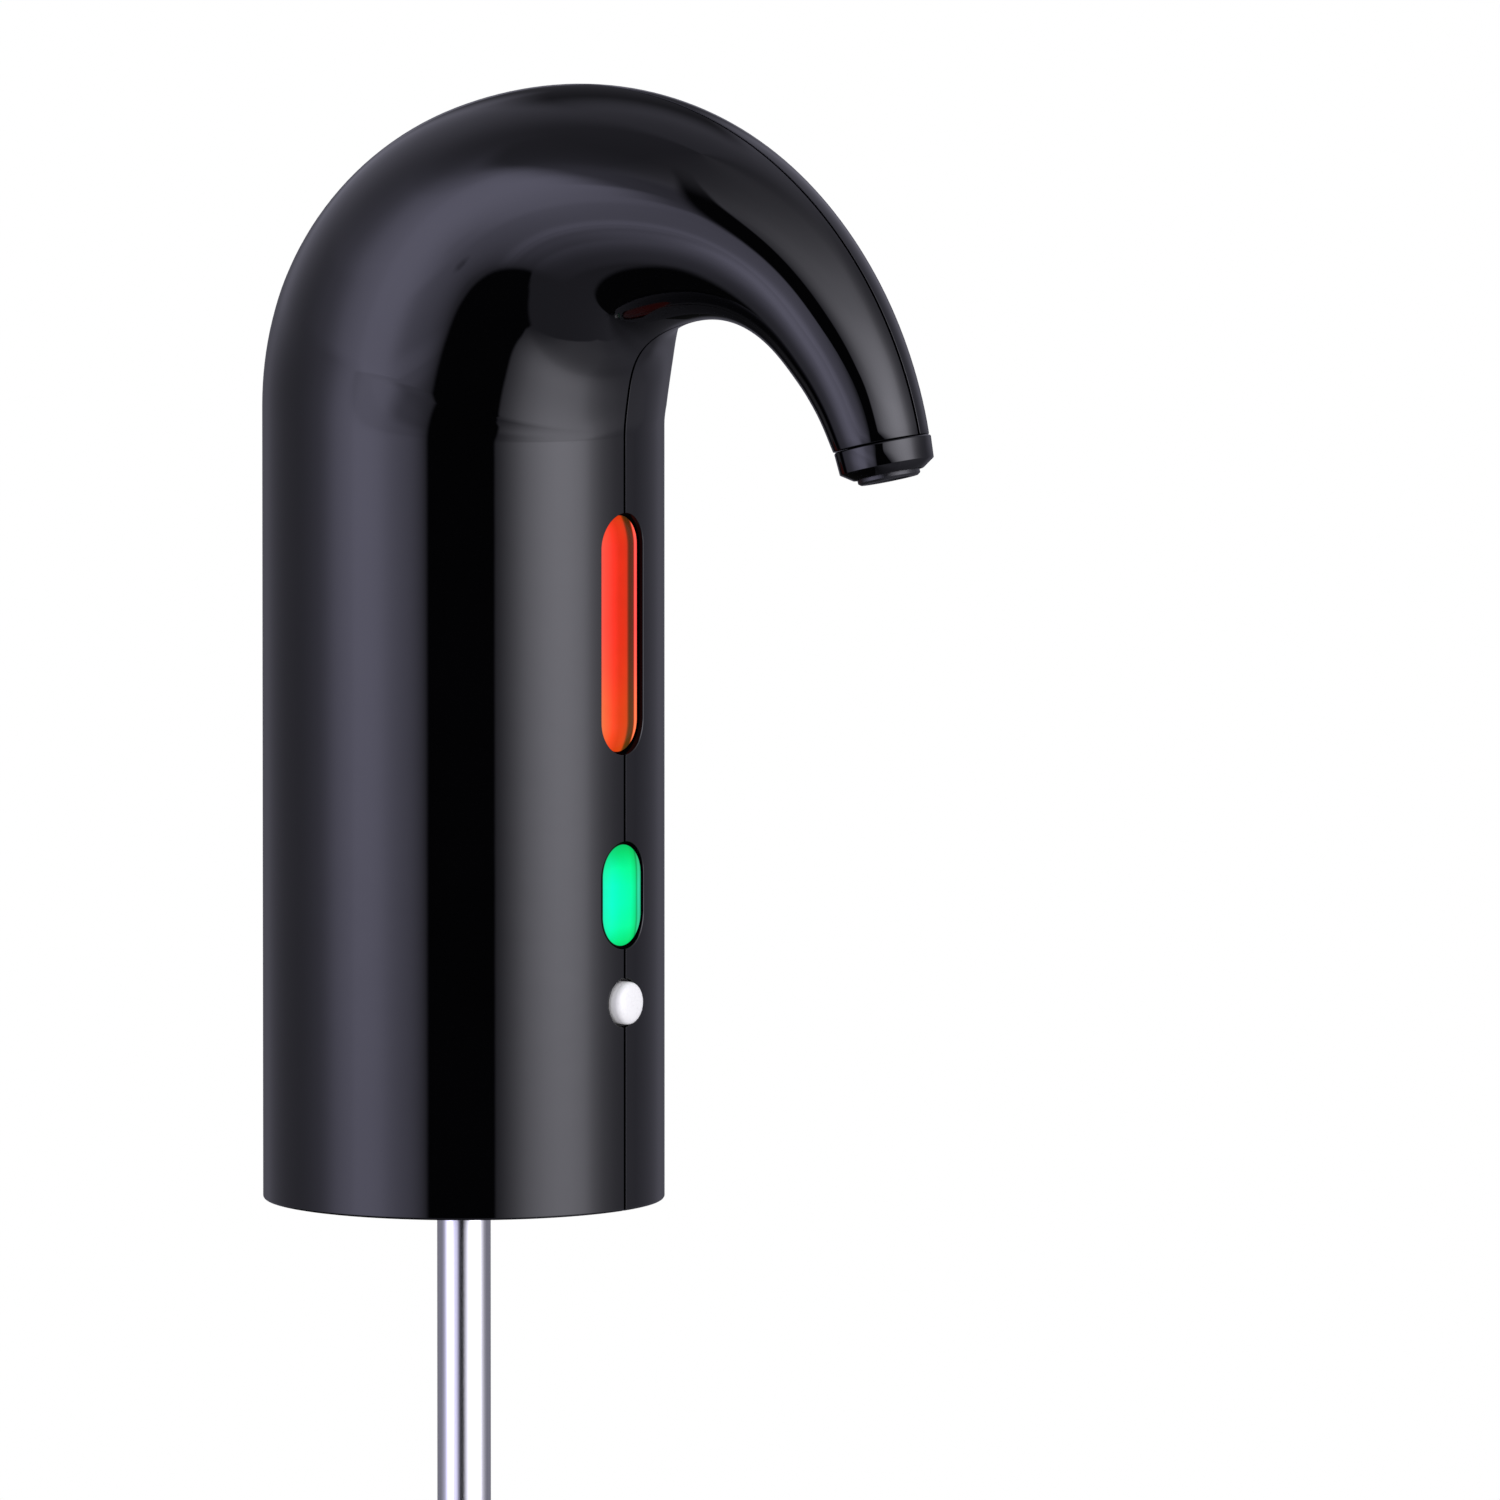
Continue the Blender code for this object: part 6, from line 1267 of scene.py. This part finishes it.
def studio_world():
    """White behind the object. Gloss reflects two broad soft boxes with darkness between them.

    Matt surfaces get the same light at a plain level. Azimuths run from the camera to its right, in degrees.
    """
    world = bpy.data.worlds.new("studio")
    bpy.context.scene.world = world
    world.use_nodes = True
    world.node_tree.nodes.clear()
    nodes = Nodes(world.node_tree)
    maths, product, total, less, remap = nodes.maths, nodes.product, nodes.total, nodes.less, nodes.remap
    direction = nodes.add("TexCoord").outputs["Generated"]
    turn = math.atan2(CAMERA_Y, CAMERA_X)
    towards = (math.cos(turn), math.sin(turn), 0)
    rightwards = (-math.sin(turn), math.cos(turn), 0)
    ahead = nodes.vector("DOT_PRODUCT", direction, towards, "Value")
    aside = nodes.vector("DOT_PRODUCT", direction, rightwards, "Value")
    azimuth = maths("DEGREES", maths("ARCTAN2", aside, ahead))
    either_side = maths("ABSOLUTE", azimuth)
    up = nodes.add("SeparateXYZ", {"Vector": direction}).outputs["Z"]
    elevation = maths("DEGREES", maths("ARCSINE", up))

    def step_up(value, edge, softness):
        """0 below the edge and 1 above it."""
        return remap(less(value, edge), -softness, softness)

    def by_height(*points):
        return nodes.curve(elevation, points)

    def round_the_room(*points):
        return nodes.curve(azimuth, points)

    def coloured(value, tint):
        return nodes.vector("MULTIPLY", value, tint)

    def together(first, second):
        return nodes.vector("ADD", first, second)

    # Both boxes stand close to the object, so that the lower part of its wall sees a little less of them
    near = by_height((-18, 1.0), (-10, 0.93), (-6.75, 0.85), (-6.2, 0.94), (-5.6, 1.0), (90, 1.0))

    # Left soft box: bright up to a slanting edge, dimmer from there to the strip
    outer_reach = by_height((-30, 0.9), (-12, 0.95), (-6, 1.0), (2, 0.92), (18, 0.78), (26, 0.7), (60, 0.7))
    offset = total(azimuth, 60)
    outwards, inwards = maths("MINIMUM", offset, 0), maths("MAXIMUM", offset, 0)
    left_across = nodes.curve(total(product(outwards, outer_reach), inwards), (
        (-64, 0), (-56, 0.02), (-48, 0.06), (-40, 0.16), (-36, 0.24), (-32, 0.33), (-28, 0.48), (-24, 0.70),
        (-20, 0.98), (-16, 1.23), (-8, 1.63), (-2, 1.90), (4, 1.92), (8, 1.86), (12, 1.72), (16, 1.52),
        (24, 1.14), (28, 0.97), (32, 0.74), (36, 0.42), (40, 0.06), (42, 0),
    ))
    left_height = by_height(
        (-46, 0), (-41, 0.08), (-35, 0.13), (-29, 0.25), (-24, 0.42), (-20, 0.58), (-16, 0.8), (-12, 0.97),
        (-5.6, 1.0), (2, 0.97), (18, 1.0), (26, 1.0), (38, 0.97), (43, 0.76), (49, 0.3), (55, 0.1), (61, 0),
    )
    bright_edge = by_height(
        (-30, -40), (10, -46), (18, -38), (26, -39), (30, -46), (34, -50), (38, -56), (43, -65), (49, -85),
        (55, -100),
    )
    dimmer = by_height(
        (-30, 0.9), (-24, 0.9), (-18, 0.55), (-12, 0.55), (-8, 0.92), (-5, 0.95), (0, 0.75), (14, 0.8),
        (18, 0.8), (22, 0.28), (30, 0.25), (50, 0.15),
    )
    past_edge = step_up(azimuth, bright_edge, 6)
    brightness = total(less(1, past_edge), product(past_edge, dimmer))
    left = product(left_across, left_height, near, brightness)

    # Right soft box: brightest above the object's middle, with a faint skirt that ends in a hard lower edge
    peak = by_height(
        (-60, 0.25), (-47, 0.36), (-41, 0.41), (-35, 0.5), (-29, 0.81), (-24, 1.77), (-20, 2.32), (-16, 2.65),
        (-12, 2.8), (-8, 3.0), (-5.6, 3.25), (2, 3.5), (10, 3.7), (18, 3.9), (22, 3.62), (26, 3.32),
        (30, 3.0), (34, 2.66), (38, 2.24), (43, 1.72), (49, 1.35), (55, 0.95), (62, 0.62),
        (71, 0.34), (90, 0.1),
    )
    middle = by_height(
        (-30, 56), (-20, 54), (-12, 58), (-5, 57), (18, 47), (30, 51), (43, 48), (55, 44), (70, 40),
    )
    left_reach = by_height(
        (-35, 1.25), (-29, 1.12), (-20, 1.05), (-5, 1.0), (4, 0.75), (10, 0.64), (18, 0.7), (26, 0.6),
        (30, 0.54), (34, 0.49), (38, 0.46), (43, 0.42), (60, 0.45),
    )
    right_reach = by_height(
        (-47, 0.55), (-35, 0.68), (-24, 0.85), (-12, 0.85), (-6, 1.0), (18, 0.76), (30, 0.76), (43, 0.6),
        (55, 0.45), (70, 0.4),
    )
    offset = less(azimuth, middle)
    leftwards, rightwards = maths("MINIMUM", offset, 0), maths("MAXIMUM", offset, 0)
    right_across = nodes.curve(total(product(leftwards, left_reach), product(rightwards, right_reach)), (
        (-41, 0), (-37, 0.067), (-33, 0.163), (-29, 0.28), (-25, 0.42), (-21, 0.573), (-17, 0.70),
        (-13, 0.81), (-9, 0.907), (-5, 0.963), (0, 1.0), (5, 0.98), (11, 0.885), (15, 0.787), (19, 0.623),
        (23, 0.43), (27, 0.3), (31, 0.2), (35, 0.14), (43, 0.06), (60, 0),
    ))
    lower_edge = round_the_room(
        (20, -28), (36, -38), (44, -44), (52, -50), (60, -55.5), (68, -59.5), (80, -65)
    )
    right = product(peak, near, right_across, step_up(elevation, lower_edge, 1.5))

    # Black strip between the boxes, black cards behind the object and low on the left
    strip_left = by_height(
        (-24, -16), (-20, -21), (-8, -20.5), (0, -20), (6, -18.5), (10, -25), (14, -32), (20, -33), (45, -33),
        (62, -37),
    )
    strip_right = by_height(
        (-24, 17.5), (-20, 19.5), (-8, 18.5), (-5, 18), (2, 6), (7, -1), (14, 0), (18, -3), (22, -7),
        (26, -13), (30, -18), (38, -24), (50, -26), (60, -28),
    )
    strip_foot = round_the_room((-24, -21.5), (-12, -25), (-4, -27), (20, -27.5))
    strip = product(
        step_up(azimuth, strip_left, 1.5), step_up(product(azimuth, -1), product(strip_right, -1), 1.2),
        step_up(elevation, strip_foot, 1.5), remap(elevation, 66, 38),
    )
    card_edge = by_height((6, 170), (20, 170), (30, 166), (45, 158), (60, 150))
    back_card = product(
        step_up(either_side, card_edge, 5), remap(elevation, 4, 10), remap(elevation, 60, 36), CARD_DARKNESS
    )
    low_edge = round_the_room(
        (-115, -28), (-100, -37), (-92, -41), (-76, -44.5), (-60, -45.5), (-52, -48), (-44, -53), (-36, -61),
        (-28, -72), (-20, -90),
    )
    low_card = less(1, step_up(elevation, low_edge, 4))
    open_share = product(less(1, strip), less(1, back_card), less(1, low_card))

    # The room is faintly lit all round, a little more above and behind, and less right behind near the floor
    behind = remap(either_side, 110, 150)
    extra = by_height((-30, -0.12), (-14, 0), (-4, 0), (6, 0.12), (90, 0.12))
    room = total(ROOM_LEVEL, product(behind, extra))
    grazing = product(remap(either_side, 148, 170), by_height((-10, 0.5), (0, 0.5), (8, 0)))
    room = product(room, less(1, grazing))
    boxes = together(coloured(left, BOX_TINT_LEFT), coloured(right, BOX_TINT_RIGHT))
    light = together(coloured(together(boxes, coloured(room, ROOM_TINT)), open_share), HAZE)
    plain = together(coloured(light, PLAIN_SHARE), PLAIN_LEVEL)
    path = nodes.add("LightPath").outputs
    seen = maths("MAXIMUM", path["Is Camera Ray"], path["Is Transmission Ray"])
    colour = nodes.mix(seen, nodes.mix(path["Is Glossy Ray"], plain, light), WHITE)
    background = nodes.add("Background", {"Color": colour, "Strength": 1.0})
    nodes.add("OutputWorld", {"Surface": background.outputs[0]})


def studio_floor():
    """Pale round floor under the pulled-out tube, with the object's soft shadow.

    It is clear from below and in reflections, and fades to white at its rim.
    """
    material = bpy.data.materials.new("pale_floor")
    material.use_nodes = True
    material.node_tree.nodes.clear()
    nodes = Nodes(material.node_tree)
    path = nodes.add("LightPath").outputs
    grey = nodes.shades(nodes.noise(8), (0.80, 0.80, 0.80), (0.84, 0.84, 0.84))
    pale = nodes.add("BsdfDiffuse", {"Color": grey}).outputs[0]
    white = nodes.add("Emission", {"Color": WHITE, "Strength": 1.0}).outputs[0]
    clear = nodes.add("BsdfTransparent").outputs[0]
    spread = nodes.vector("LENGTH", nodes.vector("MULTIPLY", nodes.place(), (1, 1, 0)), output="Value")
    seen = nodes.blend(nodes.remap(spread, *FLOOR_FADE, FLOOR_WHITENESS, 1.0), pale, white)
    seen = nodes.blend(nodes.add("NewGeometry").outputs["Backfacing"], seen, clear)
    other = nodes.blend(path["Is Glossy Ray"], pale, clear)
    nodes.add("OutputMaterial", {"Surface": nodes.blend(path["Is Camera Ray"], other, seen)})
    shape = bmesh.new()
    bmesh.ops.create_circle(shape, cap_ends=True, radius=FLOOR_RADIUS, segments=128)
    finished(shape, "floor", material, Matrix.Translation((0, 0, FLOOR_HEIGHT)))


def studio_camera():
    """Long lens at the photograph's angle and framing."""
    flat = math.cos(CAMERA_ELEVATION)
    back = Vector((CAMERA_X * flat, CAMERA_Y * flat, math.sin(CAMERA_ELEVATION)))
    right = Vector((-CAMERA_Y, CAMERA_X, 0))
    up = back.cross(right)
    camera = bpy.data.objects.new("camera", bpy.data.cameras.new("camera"))
    bpy.context.scene.collection.objects.link(camera)
    camera.location = right * AIM_RIGHT + up * AIM_UP + back * CAMERA_DISTANCE
    camera.rotation_mode = "QUATERNION"
    camera.rotation_quaternion = back.to_track_quat("Z", "Y")
    camera.data.sensor_width = SENSOR_WIDTH
    camera.data.lens = SENSOR_WIDTH * CAMERA_DISTANCE / FRAME_WIDTH
    camera.data.clip_end = CAMERA_CLIP
    bpy.context.scene.camera = camera


studio_world()
studio_floor()
studio_camera()
bpy.context.scene.view_settings.view_transform = "Standard"
